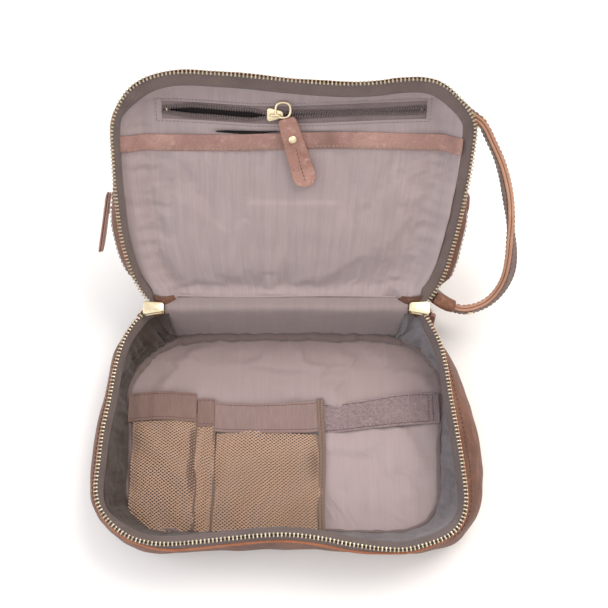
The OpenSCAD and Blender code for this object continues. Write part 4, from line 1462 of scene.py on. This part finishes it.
def lid_lining():
    """Outer rings are the gusset's lining; the rest is the dish, with the zip's window."""
    inner = lid_tape[:, -1, :2]
    inner = inner + (LID_CENTRE - inner) * -0.008
    low = np.column_stack([np.linspace(inner[-1, 0], inner[0, 0], 80)[1:-1],
                           np.full(78, 2.2)])
    outline = np.vstack([inner, low])
    rings = []
    for share in np.concatenate([np.linspace(1, 0.80, 12), np.linspace(0.77, 0.03, 34)]):
        plan = LID_CENTRE + (outline - LID_CENTRE) * share
        depth = lining_depth(plan[:, 0], plan[:, 1])
        if share == 1:
            depth[:RIM_COUNT] = lid_tape[:, -1, 2] + 0.3
        rings.append(with_z(plan, depth))
    rings = np.stack(rings, 1)
    world = from_lid(rings)
    split = 3
    gusset = grid("lid_gusset_lining_cloth", world[:, :split + 1], "lining_cloth_top",
                  closed_u=True, thick=0.8, uv=rings[:, :split + 1, :2], flip=True, rim=False)
    put(gusset, "lid", "lining", "lid_gusset_lining")
    dish = grid("lid_lining_cloth", world[:, split:], "lining_cloth_top", closed_u=True,
                uv=rings[:, split:, :2], flip=True)
    cut_window(dish.data)
    for me in (dish.data, gusset.data):
        p = mesh_points(me)
        p = p + LID_UP * zip_sag(p[:, 0], (p - lid(0, 0, 0)) @ LID_UP)[:, None]
        me.vertices.foreach_set("co", (p * MM).ravel())
    thicken(dish, 0.8, rim=False)
    put(dish, "lid", "lining", "lid_lining")


lid_lining()


# ---- slip pocket ----------------------------------------------------------------------------

def tape_edge_x(half, up):
    """x of the tape's inner edge on one side of the lid."""
    edge = half[np.argsort(half[:, 1])]
    edge = edge[edge[:, 1] < 150]
    return np.interp(up, edge[:, 1], edge[:, 0])


def lid_left(up):
    return tape_edge_x(lid_tape[RIM_COUNT // 2:, -1], up) - 0.6


def lid_right(up):
    return tape_edge_x(lid_tape[:RIM_COUNT // 2, -1], up) + 0.6


def slip_pocket():
    """A slack panel across the lower part of the lid, open under the leather trim."""
    heights = np.linspace(3.6, 119, 74)
    x = np.linspace(lid_left(heights), lid_right(heights), 96)
    l = np.broadcast_to(heights, x.shape)
    across = np.linspace(-1, 1, 96)[:, None]
    gap = rim_distance(x, l)
    q = np.stack([x, l], -1)
    edge = 3.2 + 5.4 * ease(x, -90, -116)
    reach = 23.0 - 5.0 * ease(x, 90, 104) * ease(l, 84, 96)
    depth = edge + (14.4 - edge) * ease(gap / reach, 9.0 / 23.0, 1.0) ** 0.85
    low = 1 - ease(l, 3.6, 17)
    depth = depth + (14.4 - 3.4 * low - depth) * ease(gap, 14, 28) * low
    belly = 1.6 * ease(l, 4, 40) * ease(l, 96, 55) * (1 - across ** 4)
    ripple = (0.6 * noise(q, 64, seed=95) + 0.35 * noise(q, 26, seed=96)
              + 0.22 * noise(q * [1, 0.3], 12, seed=97)) * ease(gap, 12, 30)
    tug = (1.4 * bell(l, 62, 5) * ease(x, 92, 108) * ease(x, 121, 112)
           - 1.0 * bell(l, 72, 4) * ease(x, 90, 108)
           + 0.8 * bell(l, 78, 5) * ease(x, -84, -104)
           + 1.0 * noise(q * [0.25, 1.0], 13, seed=98) * bell(gap, 19, 8))
    sheet = lid(x, l, depth - belly + ripple + tug)
    ob = grid("slip_pocket_cloth", sheet, "lining_cloth_lid", thick=0.7, sub=1)
    pin = np.zeros(x.shape)
    pin[:4] = pin[-4:] = 1
    pin[:, :2] = pin[:, -3:] = 1
    pin[4:9] = pin[-9:-4] = 0.3
    # kept still behind the leather pull
    middle_x = sheet[:, len(heights) // 2, 0]
    near_pull = np.outer((middle_x > -26) & (middle_x < 34), heights > 78)
    settle(ob, pin.ravel(), pressure=2.0, grow=0.03,
           limit=(2.2 - 1.9 * near_pull).ravel())
    put(ob, "lid", "lining", "slip_pocket_panel")
    return sheet


def corner_leather(side, strip, inner_share):
    """The leather turned in at a hinge corner; inner_share is 1 at its inner end."""
    corner = strip - LID_BACK * 1.7
    corner = np.concatenate([corner[:, :1] - LID_UP * 2.2, corner], 1)
    drop = np.arange(1, 4)[None, :, None] * 1.1 * inner_share[:, None, None]
    corner[:, 3:] -= LID_UP * drop
    put(grid("lid_corner_leather_" + side, corner, "leather_brown", thick=0.9, sub=1),
        "lid", "leather")


pocket = slip_pocket()
corner_leather("left", pocket[:8, :5], np.linspace(0, 1, 8))
corner_leather("right", pocket[-8:, :5], np.linspace(1, 0, 8))

# its hem along the hinge
x = np.linspace(lid_left(5.0) + 6, lid_right(5.0) - 6, 120)
hem_depth = 12.2 - 5.5 * ease(np.abs(x), 86, 104) - 1.2
put(tube("slip_pocket_hem", lid(x, 4.6 + 0.4 * np.sin(x / 19), hem_depth), 0.75,
         "lining_cloth_lid"), "lid", "lining")

# leather trim over its open edge
heights = np.linspace(117.2, 129.4, 9)
x = np.linspace(lid_left(heights), lid_right(heights), 120)
l = heights + 0.7 * np.sin(x / 46 + 0.6) + 0.5 * np.sin(x / 23)
edge = 2.6 + 5.4 * ease(x, -90, -116)
depth = (edge + (13.6 - edge) * ease(rim_distance(x, l), 9.0, 22.0) ** 0.85
         - 0.55 * np.sin(np.pi * np.linspace(0, 1, 9))
         + 0.3 * noise(np.stack([x, l], -1), 30, seed=99))
trim = lid(x, l, depth)
put(grid("slip_pocket_leather_trim", trim, "leather_trim", thick=1.5, sub=1),
    "lid", "leather", "slip_pocket_trim")
for tag, share in (("a", 0.0), ("b", 0.45)):
    row = trim[:, 1] * (1 - share) + trim[:, 2] * share - LID_BACK * 0.78
    sew("trim_stitching_" + tag, "lid", row[2:-2], -LID_BACK, "thread_tan",
        pitch=2.9, length=1.9, radius=0.26, lift=0.1)


# ---- inner pocket zip -------------------------------------------------------------------------

INNER_ZIP_UP = 146.2
INNER_SLIDER_X = -8.0


def zip_half(x, sign, offset):
    """Distance up the lid of one half of the zip: closed right of the slider, parted left."""
    gap = (2.7 * ease(x, INNER_SLIDER_X - 3, INNER_SLIDER_X - 19)
           * ease(x, -88, -62) ** 0.8)
    return (INNER_ZIP_UP + zip_sag(x) + sign * (gap * (1.0 if sign > 0 else 0.85) + offset)
            + 0.35 * np.sin(x / 15 + sign))


def inner_zip_half(sign, tag):
    x = np.linspace(-89.5, 100.5, 130)
    inner, outer = zip_half(x, sign, 0.35), INNER_ZIP_UP + zip_sag(x) + sign * 9.0
    rows = [lid(x, inner * (1 - share) + outer * share,
                15.4 - 0.35 * math.sin(math.pi * share) + 0.15 * np.sin(x / 12))
            for share in np.linspace(0, 1, 6)]
    tape = put(grid(f"inner_zip_tape_{tag}", np.stack(rows, 1), "zip_tape_dark", thick=0.5,
                    flip=sign < 0), "lid", "tape")
    # the coil: one long spiral
    pitch = 1.75
    x = np.arange(-87.5, 98.0, pitch / 10)
    phase = 2 * np.pi * x / pitch + (0 if sign > 0 else np.pi)
    spiral = lid(x, zip_half(x, sign, 1.05) + 1.3 * np.cos(phase), 14.5 + 0.7 * np.sin(phase))
    coil = put(tube(f"inner_zip_coil_{tag}", spiral, 0.40, "coil_nylon", 5), "lid", "coil")
    if sign > 0:
        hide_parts("inner_zip_tape")
        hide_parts("inner_zip_coil")
    x = np.linspace(-88, 99, 120)
    sew(f"inner_coil_stitching_{tag}", "lid", lid(x, zip_half(x, sign, 3.1), 14.9),
        -LID_BACK, "thread_brown", pitch=1.9, length=1.3, radius=0.16, lift=0.1)


inner_zip_half(1, "upper")
inner_zip_half(-1, "lower")

# painted shadow: a near-black sheet laid just over the lining above the leather trim, standing in for
# the shade inside the slip pocket's open mouth
x = np.linspace(-50, -1, 50)
mouth_half = 2.5 * np.sin(np.pi * np.linspace(0, 1, 50)) ** 0.6
rows = []
for share in np.linspace(-1, 1, 7):
    l = 131.3 + 0.02 * x + share * mouth_half
    rows.append(lid(x, l, lining_depth(x, l) - 0.75))
put(grid("slip_pocket_mouth_cloth", np.stack(rows, 1), "pocket_dark", thick=0.3),
    "lid", "lining")

# stitched frame round the window, with the window's turned lip
q = rectangle((-91, -91.4), (100.6, 101.0), low=(138.2, 138.0), high=(154.2, 154.4), count=60)
q = np.vstack([q, q[:1]])
sew("inner_zip_frame_stitching", "lid", sagging(q[:, 0], q[:, 1], lift=0.45), -LID_BACK,
    "thread_grey", pitch=2.7, length=1.9, radius=0.22, lift=0.1)
q = rectangle(WINDOW_X[:1] * 2, WINDOW_X[1:] * 2, WINDOW_UP[:1] * 2, WINDOW_UP[1:] * 2, 50)
put(tube("inner_zip_window_lip", sagging(q[:, 0], q[:, 1], lift=0.1), 0.62,
         "lining_cloth_top", closed=True), "lid", "lining")

# stiffener inside the lid's back
board = LID_CENTRE + (panel_outline[::6] - LID_CENTRE) * 0.95
verts, faces = plate(board, 0.8, 0.2, z0=19.3)
put(mesh("lid_board_sheet", from_lid(verts), faces, "board_fibre"),
    "lid", "lid_board", "lid_board")


def pocket_bag(side, tag):
    """One face of the flat pouch between the lining and the board, closed all round."""
    angle = np.linspace(0, 2 * math.pi, 96, endpoint=False)
    wave = np.column_stack([np.cos(angle), np.sin(angle)])
    reach = [96.5, 58.5] * np.sign(wave) * np.abs(wave) ** 0.42
    rings = []
    for share in np.linspace(1, 0.02, 14):
        plan = [5.0, 99.0] + reach * share
        puff = (0.32 + 0.10 * noise(plan, 24, seed=81 + side)) * (1 - share ** 8)
        rings.append(from_lid(with_z(plan, 18.25 + side * puff)))
    put(grid("inner_pocket_bag_" + tag, np.stack(rings, 1), "pocket_dark", closed_u=True,
             flip=side > 0), "lid", None, "inner_pocket_bag")


pocket_bag(-1, "front")
pocket_bag(1, "back")


# ---- sliders, rings and pulls ---------------------------------------------------------------------

def pull(kind, side, origin, axes, widths, length, thick, rivet_at, rivet_radius, curl=0.0):
    """A leather pull: two bonded layers hanging along -y of its axes, z towards its face.

    widths are at the top and the foot; a domed rivet with a collar goes through it."""
    body = kind + side

    def bow(y):
        return curl * (y / length) ** 2 + 0.25 * np.sin(y / 9)

    outline = taper(*widths, length, 3.2)
    layer = thick * 0.46
    verts, faces = join([plate(outline * 0.985, layer, 0.42, z0=-thick / 2),
                         plate(outline, layer, 0.42, z0=-thick / 2 + thick * 0.54)])
    verts[:, 2] += bow(verts[:, 1])
    ob = mesh(body + "_leather", place(verts, origin, *axes), faces, "leather_pull")
    put(ob, body, "leather", f"{kind}_tab{side}")
    mod = ob.modifiers.new("sub", "SUBSURF")
    mod.levels = mod.render_levels = 1
    y = np.linspace(-rivet_at - 7, -length + 4.5, 30)
    row = np.column_stack([0.25 * np.sin(y / 5), y, thick / 2 + bow(y) + 0.02])
    sew(body + "_stitching", body, place(row, origin, *axes), axes[2], "thread_brown",
        pitch=2.7, length=2.0, radius=0.24, lift=0.12)
    r = rivet_radius
    profile = [(0.02, -thick - 0.9), (r * 0.6, -thick - 0.85), (r * 0.9, -thick - 0.3),
               (r * 0.9, 0), (r, 0), (r * 1.02, 0.25), (r * 0.92, 0.75), (r * 0.68, 1.1),
               (r * 0.36, 1.28), (0.02, 1.33)]
    verts, faces = revolve(profile, 28)
    verts = verts + [0, -rivet_at, thick / 2 + 0.2]
    put(mesh(body + "_rivet", place(verts, origin, *axes), faces, "slider_gold"),
        body, "brass", f"{kind}_rivet{side}")


def small_slider(node, centre, axes, top, low_z, dome_z, material):
    """Two plates, wide end towards -x of its axes, with a bridge and a dome.

    top is the upper plate's height and foot."""
    outline = taper(9.6, 6.0, 11.5, 2.2)
    outline[:, 1] += 5.7
    outline = outline[:, ::-1] * [-1, 1]
    bridge = np.array([(-3.4, 0, 1.0), (-3.0, 0, 2.6), (-1.6, 0, 3.3), (1.6, 0, 3.3),
                       (3.0, 0, 2.6), (3.4, 0, 1.0)])
    verts, faces = join([plate(outline, top[0], 0.4, z0=top[1]),
                         plate(outline * 0.97, 1.2, 0.3, z0=low_z),
                         tube_shape(bridge, 0.85),
                         box_shape(4.6, 3.2, 1.3, 0.5, (0, 0, dome_z))])
    put(mesh(node + "_body", place(verts, centre, *axes), faces, material),
        node, "brass", node)


# inner zip: slider, ring, pull
small_slider("inner_slider", lid(INNER_SLIDER_X, INNER_ZIP_UP - 3.2, 13.6),
             (LID_X, LID_UP, -LID_BACK), top=(1.5, -0.2), low_z=-3.1, dome_z=1.6,
             material="slider_gold")
turn = np.linspace(0, 2 * math.pi, 40, endpoint=False)
ring = np.column_stack([5.2 * np.cos(turn), 5.4 * np.sin(turn)])
ring = np.sign(ring) * np.abs(ring / 5.3) ** 0.8 * 5.3
ring = lid(-2.4 + ring[:, 0], 146.6 + ring[:, 1], 11.4 + 0.05 * ring[:, 1])
put(tube("inner_pull_ring_loop", ring, 0.85, "slider_gold", 10, closed=True),
    "inner_ring", "brass", "inner_pull_ring")
swing = math.radians(17)
pull("inner_pull", "", lid(-0.2, 140.9, 10.6),
     (LID_X * math.cos(swing) + LID_UP * math.sin(swing),
      LID_UP * math.cos(swing) - LID_X * math.sin(swing), -LID_BACK),
     widths=(13.2, 17.0), length=52.0, thick=3.2, rivet_at=15.4, rivet_radius=2.9, curl=-0.6)

# zip on the lid's back: slider, ring, hanging pull, and the sewn tab at the right end
small_slider("outer_slider", lid(-122, OUTER_ZIP_UP, 24.6), (-LID_X, LID_UP, LID_BACK),
             top=(1.6, 0.4), low_z=-2.0, dome_z=1.9, material="brass_aged")
ring = lid(-127.6 + 5.6 * np.cos(turn), OUTER_ZIP_UP + 5.2 * np.sin(turn), 26.8)
put(tube("outer_pull_ring_loop", ring, 0.85, "brass_aged", 10, closed=True),
    "outer_pull", "brass", "outer_pull_ring")
pull_up = unit(LID_UP * 0.985 + LID_X * 0.15)
pull_face = -unit(LID_X - pull_up * (LID_X @ pull_up))
pull("outer_pull", "", lid(-130.2, 81.0, 25.0),
     (unit(np.cross(pull_up, pull_face)), pull_up, pull_face),
     widths=(12.4, 14.4), length=47.0, thick=3.2, rivet_at=14.0, rivet_radius=2.6, curl=1.6)

tab_frame = (lid(126.4, OUTER_ZIP_UP, 22.8), LID_X, LID_UP, LID_BACK)
verts, faces = plate(rounded(16.0, 17.5, 5.0), 2.6, 0.6)
ob = mesh("outer_zip_end_tab_leather", place(verts, *tab_frame), faces, "leather_pull")
ob.modifiers.new("sub", "SUBSURF").levels = 1
put(ob, "lid", "leather", "outer_zip_tab")
q = rounded(12.6, 13.6, 3.6)
sew("outer_zip_tab_stitching", "lid", place(with_z(np.vstack([q, q[:1]]), 2.62), *tab_frame),
    LID_BACK, "thread_tan", pitch=2.6, length=1.9, radius=0.24)


def outer_zip_depth(x):
    """Depth of the groove in the lid's back, under the zip."""
    inside = ease((122 - np.abs(x)) / 122, 0, 0.35)
    plan = np.column_stack([x, np.full(len(x), OUTER_ZIP_UP)])
    return LID_DEPTH + (2.6 + panel_swell(plan)) * inside


x = np.linspace(-121, 121, 150)
groove = outer_zip_depth(x)
rows = [lid(x, OUTER_ZIP_UP + w, groove + 0.55) for w in np.linspace(-6.2, 6.2, 7)]
put(grid("outer_zip_tape_woven", np.stack(rows, 1), "zip_tape_dark", thick=0.5),
    "lid", "tape", "outer_zip_tape")
tooth_x = np.arange(-119, 119, 1.45)
stagger = np.where(np.arange(len(tooth_x)) % 2 == 0, 0.85, -0.85)
tooth_at = lid(tooth_x, OUTER_ZIP_UP + stagger, outer_zip_depth(tooth_x) + 1.35)
shape = copies(box_shape(0.95, 3.1, 1.5, 0.2), tooth_at, LID_X, LID_UP, LID_BACK)
put(mesh("outer_zip_teeth_row", *shape, "brass_aged", smooth=False),
    "lid", "brass", "outer_zip_teeth")
for offset, tag in ((7.6, "upper"), (-7.6, "lower")):
    sew("outer_zip_stitching_" + tag, "lid", lid(x, OUTER_ZIP_UP + offset, groove + 0.35),
        LID_BACK, "thread_brown", pitch=3.4, length=2.5, radius=0.26)

# Main slider plate, with flared shoulders at its wide outer end: along, across.
half_slider = [(-7.6, 2.6), (-6.6, 3.5), (-3.5, 3.9), (0, 4.3), (3.5, 4.8), (6.0, 5.0),
               (7.1, 4.2), (7.5, 2.2)]
SLIDER = ([(-7.6, -2.6), (-7.9, 0)] + half_slider
          + [(along, -across) for along, across in half_slider[:0:-1]])


def main_slider(side, name):
    """A main zip slider at the hinge, with the ring and pull that hang outside."""
    yaw = math.radians(13)
    run = np.array([side * math.cos(yaw), -math.sin(yaw), 0.0])
    away = np.array([side * math.sin(yaw), math.cos(yaw), 0.0])
    up = unit([0, -0.12, 1.0])
    along = unit([side, -0.05, 0])
    outline = spline(SLIDER, 60, closed=True)
    verts, faces = join([plate(outline, 1.7, 0.55, z0=1.4),
                         plate(outline * 0.98, 1.6, 0.5, z0=-3.0),
                         box_shape(4.6, 2.6, 4.0, 0.5, (3.0, 0, -0.4))])
    if side < 0:
        faces = [f[::-1] for f in faces]
    centre = np.array([side * 98.6, 87.9, 46.9])
    verts = place(verts, centre, along, unit(np.cross(up, along)), up)
    put(mesh(f"main_slider_{name}_body", verts, faces, "slider_gold"),
        f"main_slider_{name}", "brass", f"main_slider_{name}")
    pivot = np.array([side * 102.3, 87.83, 42.0])
    a = np.linspace(0, 2 * math.pi, 34, endpoint=False)[:, None]
    ring = (pivot + run * (5.0 * np.cos(a) + 1.0) + UP * (5.2 * np.sin(a) - 1.6)
            + away * 1.2)
    put(tube(f"main_pull_ring_{name}_loop", ring, 0.9, "brass_aged", 10, closed=True),
        f"main_pull_{name}", "brass", f"main_pull_ring_{name}")
    pull("main_pull", "_" + name, pivot + run * 4.7 + away * 1.6 - UP * 5.2,
         (unit(np.cross(UP, away)), UP, away), widths=(10.4, 11.6), length=32.0, thick=2.6,
         rivet_at=9.0, rivet_radius=2.2)


main_slider(1, "right")
main_slider(-1, "left")


# ---- hanging strap --------------------------------------------------------------------------------

# The strap's rim-side edge, from the lid's top right out and down to the hinge:
# x, distance up the lid, depth.
STRAP_EDGE = [
    (116.9574, 150.6666, 8.5), (126.8614, 145.1979, 6.0), (135.9681, 139.3033, 3.5),
    (144.7887, 124.8069, 3.0), (153.0687, 107.4422, 3.0), (159.0321, 88.7709, 3.0),
    (161.8911, 69.6403, 3.0), (161.8576, 52.3707, 3.0), (161.6364, 36.1268, 3.0),
    (159.6488, 22.1751, 3.0), (153.9161, 9.8730, 3.4), (144.6944, 0.9219, 4.2),
    (132.7834, -2.7549, 5.2), (121.1233, 0.0072, 6.0), (110.3991, 5.6112, 6.5)]
STRAP_COUNT = 150
STRAP_WIDTH = 19.0
# half the strap's section: across its width, through its thickness
STRAP_HALF = [
    (0.75, 0.0), (0.25, 0.22), (0.0, 0.55), (0.0, 1.75), (0.45, 2.25), (3.0, 2.5), (9.5, 2.62),
    (16.0, 2.5), (18.55, 2.25), (19.0, 1.75), (19.0, 0.55), (18.75, 0.22), (18.25, 0.0)]
SECTION = STRAP_HALF + [(w, -t) for w, t in STRAP_HALF[-2:0:-1]]

strap_path = from_lid(spline(STRAP_EDGE, STRAP_COUNT))
strap_t = tangents(strap_path)
share = np.linspace(0, 1, STRAP_COUNT)
strap_away = unit(np.cross(strap_t, LID_BACK))  # away from the bag
facing = np.sign(strap_away @ LID_X + 1e-9)
facing[-30:] = facing[-40]  # no change of side where the strap turns back in
strap_away *= facing[:, None]
twist = np.radians(-4 + 36 * ease(share, 0.38, 0.72) - 22 * ease(share, 0.86, 1.0))[:, None]
strap_w = unit(LID_BACK * np.cos(twist) + strap_away * np.sin(twist))
strap_n = unit(np.cross(strap_t, strap_w))
strap_n *= np.sign((strap_n * strap_away).sum(1))[:, None]
strap_wave = 0.25 * noise(strap_path, 30, seed=111)[:, None]


def blend_strap(ob):
    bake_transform(ob)


def strap_line(across, through):
    return strap_path + strap_w * across + strap_n * (through + strap_wave)


def strap():
    verts = np.stack([strap_line(w, t) for w, t in SECTION], 1).reshape(-1, 3)
    along = arc_length(strap_path)
    uv = np.array([(s, w + 3 * t) for s in along for w, t in SECTION])
    ob = mesh("hanging_strap_leather", verts, ring_faces(STRAP_COUNT, len(SECTION)),
              ("leather_strap", "leather_cut_edge"), uv=uv)
    # the faces along both cut edges, and the two ends, take the second material
    cut = []
    for (w, _), (w_next, _) in zip(SECTION, SECTION[1:] + SECTION[:1]):
        middle = (w + w_next) / 2
        cut.append(1 if middle < 0.4 or middle > 18.6 else 0)
    ob.data.polygons.foreach_set("material_index", cut * (STRAP_COUNT - 1) + [1, 1])
    recalc_normals(ob)
    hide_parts("hanging_strap")
    blend_strap(ob)
    for across, tag in ((2.3, "near"), (16.7, "far")):
        for sign, face in ((1, "outer"), (-1, "inner")):
            blend_strap(sew(f"strap_stitching_{face}_{tag}", None,
                            strap_line(across, sign * 2.56)[8:-8], strap_n[8:-8] * sign,
                            "thread_brown", pitch=3.6, length=2.6, radius=0.26, lift=0.1))


def sleeve(node, start, end, grow, material):
    """Leather folded round a stretch of the strap."""
    rings = []
    for i, k in zip(range(start, end), np.linspace(0, 1, end - start)):
        g = grow + 0.5 * math.sin(math.pi * k)
        half = 2.6 + g
        loop = rounded(STRAP_WIDTH + 2 * g, 2 * half, min(half * 0.9, 3.0), 6)
        loop = loop + [STRAP_WIDTH / 2, 0]
        rings.append(strap_path[i] + strap_w[i] * loop[:, :1] + strap_n[i] * loop[:, 1:])
    ob = mesh(node + "_leather", np.vstack(rings), ring_faces(len(rings), len(rings[0])),
              material)
    recalc_normals(ob)
    mod = ob.modifiers.new("edge", "BEVEL")
    mod.width, mod.segments, mod.limit_method, mod.angle_limit = 0.5 * MM, 2, "ANGLE", 0.8
    put(ob, "lid", "leather", node)


def strap_rivets():
    """A cap on each face of the strap near each end."""
    cap, cap_faces = revolve([(3.1, 0), (3.15, 0.3), (2.7, 0.8), (1.7, 1.15), (0.05, 1.3)], 24)
    parts = []
    for at in (0.115, 0.86):
        i = int(STRAP_COUNT * at)
        for sign in (1, -1):
            centre = strap_path[i] + strap_w[i] * STRAP_WIDTH / 2 + strap_n[i] * sign * 2.6
            parts.append((place(cap, centre, strap_t[i], strap_w[i], strap_n[i] * sign),
                          cap_faces))
    put(mesh("strap_rivet_caps", *join(parts), "brass_aged"), "strap", "brass", "strap_rivets")


strap()
sleeve("strap_anchor_front", 0, 9, grow=1.3, material="leather_brown")
sleeve("strap_anchor_rear", STRAP_COUNT - 13, STRAP_COUNT, grow=2.0, material="leather_fold")
i = STRAP_COUNT - 14
row = strap_path[i] - strap_w[i] * 1.9 + strap_n[i] * np.linspace(-3.4, 3.4, 8)[:, None]
sew("strap_anchor_stitching", "lid", row, -LID_BACK, "thread_tan",
    pitch=1.9, length=1.4, radius=0.22)
strap_rivets()


# ---- carried-over CAD pieces -----------------------------------------------------------------------

CARRIED = {
    "leather": "leather_brown", "leather_edge": "leather_edge_tan", "lining": "lining_cloth",
    "base_board": "board_fibre", "lid_board": "board_fibre", "binding": "seam_binding",
    "tape": "zip_tape_dark", "pocket_bag": "pocket_dark", "coil": "coil_nylon",
    "net": "net_thread", "elastic": "elastic_rib", "loop_pile": "loop_pile",
    "thread": "thread_brown", "brass": "brass_aged"}
for node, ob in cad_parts.items():
    if ob.hide_render:
        continue
    slots = ob.data.materials
    if node in ("zip_bottom_stops", "inner_zip_stops"):
        key = "brass"
    else:
        key = slots[0].name.split(".")[0] if slots and slots[0] else "leather"
    slots.clear()
    slots.append(MAT[CARRIED.get(key, "leather_brown")])


# ---- camera, floor, light ----------------------------------------------------------------------------

scene = bpy.context.scene
CAMERA_DISTANCE = 0.820
elevation = math.radians(65)
target = Vector((0, HINGE_Y * MM, HINGE_Z * MM))
lens = bpy.data.cameras.new("camera")
camera = bpy.data.objects.new("camera", lens)
scene.collection.objects.link(camera)
camera.location = target + Vector((0, -math.cos(elevation),
                                   math.sin(elevation))) * CAMERA_DISTANCE
camera.rotation_euler = (target - camera.location).to_track_quat("-Z", "Y").to_euler()
lens.lens, lens.sensor_width = 65.37, 36.0
lens.shift_x, lens.shift_y = 0.02878, 0.00658
lens.clip_start = 0.01
scene.camera = camera


def floor_material():
    material = bpy.data.materials.new("studio_floor")
    material.use_nodes = True
    tree = material.node_tree
    bsdf = tree.nodes["Principled BSDF"]
    # shows only if the mottling is unplugged
    bsdf.inputs["Base Color"].default_value = (0.93, 0.905, 0.885, 1)
    bsdf.inputs["Roughness"].default_value = 0.85
    mottle = tree.nodes.new("ShaderNodeTexNoise")
    mottle.inputs["Scale"].default_value = 6
    mix = tree.nodes.new("ShaderNodeMix")
    mix.data_type = "RGBA"
    mix.inputs[6].default_value = (0.96, 0.945, 0.935, 1)
    mix.inputs[7].default_value = (0.975, 0.965, 0.955, 1)
    tree.links.new(mottle.outputs[0], mix.inputs[0])
    tree.links.new(mix.outputs[2], bsdf.inputs["Base Color"])
    return material


bpy.ops.mesh.primitive_plane_add(size=8, location=(0, 0, -0.0002))
floor = bpy.context.object
floor.name = "studio_floor"
floor.data.materials.append(floor_material())


def area_light(name, location, aim, size, power, color):
    data = bpy.data.lights.new(name, "AREA")
    data.energy, data.size, data.color = power, size, color
    ob = bpy.data.objects.new(name, data)
    scene.collection.objects.link(ob)
    ob.location = location
    ob.rotation_euler = (Vector(aim) - Vector(location)).to_track_quat("-Z", "Y").to_euler()


area_light("key", (0.62, 0.55, 1.25), aim=(0, 0.05, 0.03), size=1.0, power=14,
           color=(1.0, 0.945, 0.885))
area_light("window", (-1.25, -0.15, 0.85), aim=(0, 0.03, 0.03), size=1.0, power=8.0,
           color=(0.84, 0.91, 1.0))
area_light("fill_front", (-0.1, -1.2, 1.3), aim=(0, 0, 0.03), size=1.1, power=5.0,
           color=(1.0, 0.97, 0.95))
world = bpy.data.worlds.new("studio")
scene.world = world
world.use_nodes = True
background = world.node_tree.nodes["Background"]
background.inputs["Color"].default_value = (1.0, 0.975, 0.955, 1)
background.inputs["Strength"].default_value = 0.74
scene.view_settings.view_transform = "Standard"
scene.view_settings.look = "None"
scene.view_settings.exposure = 0.0
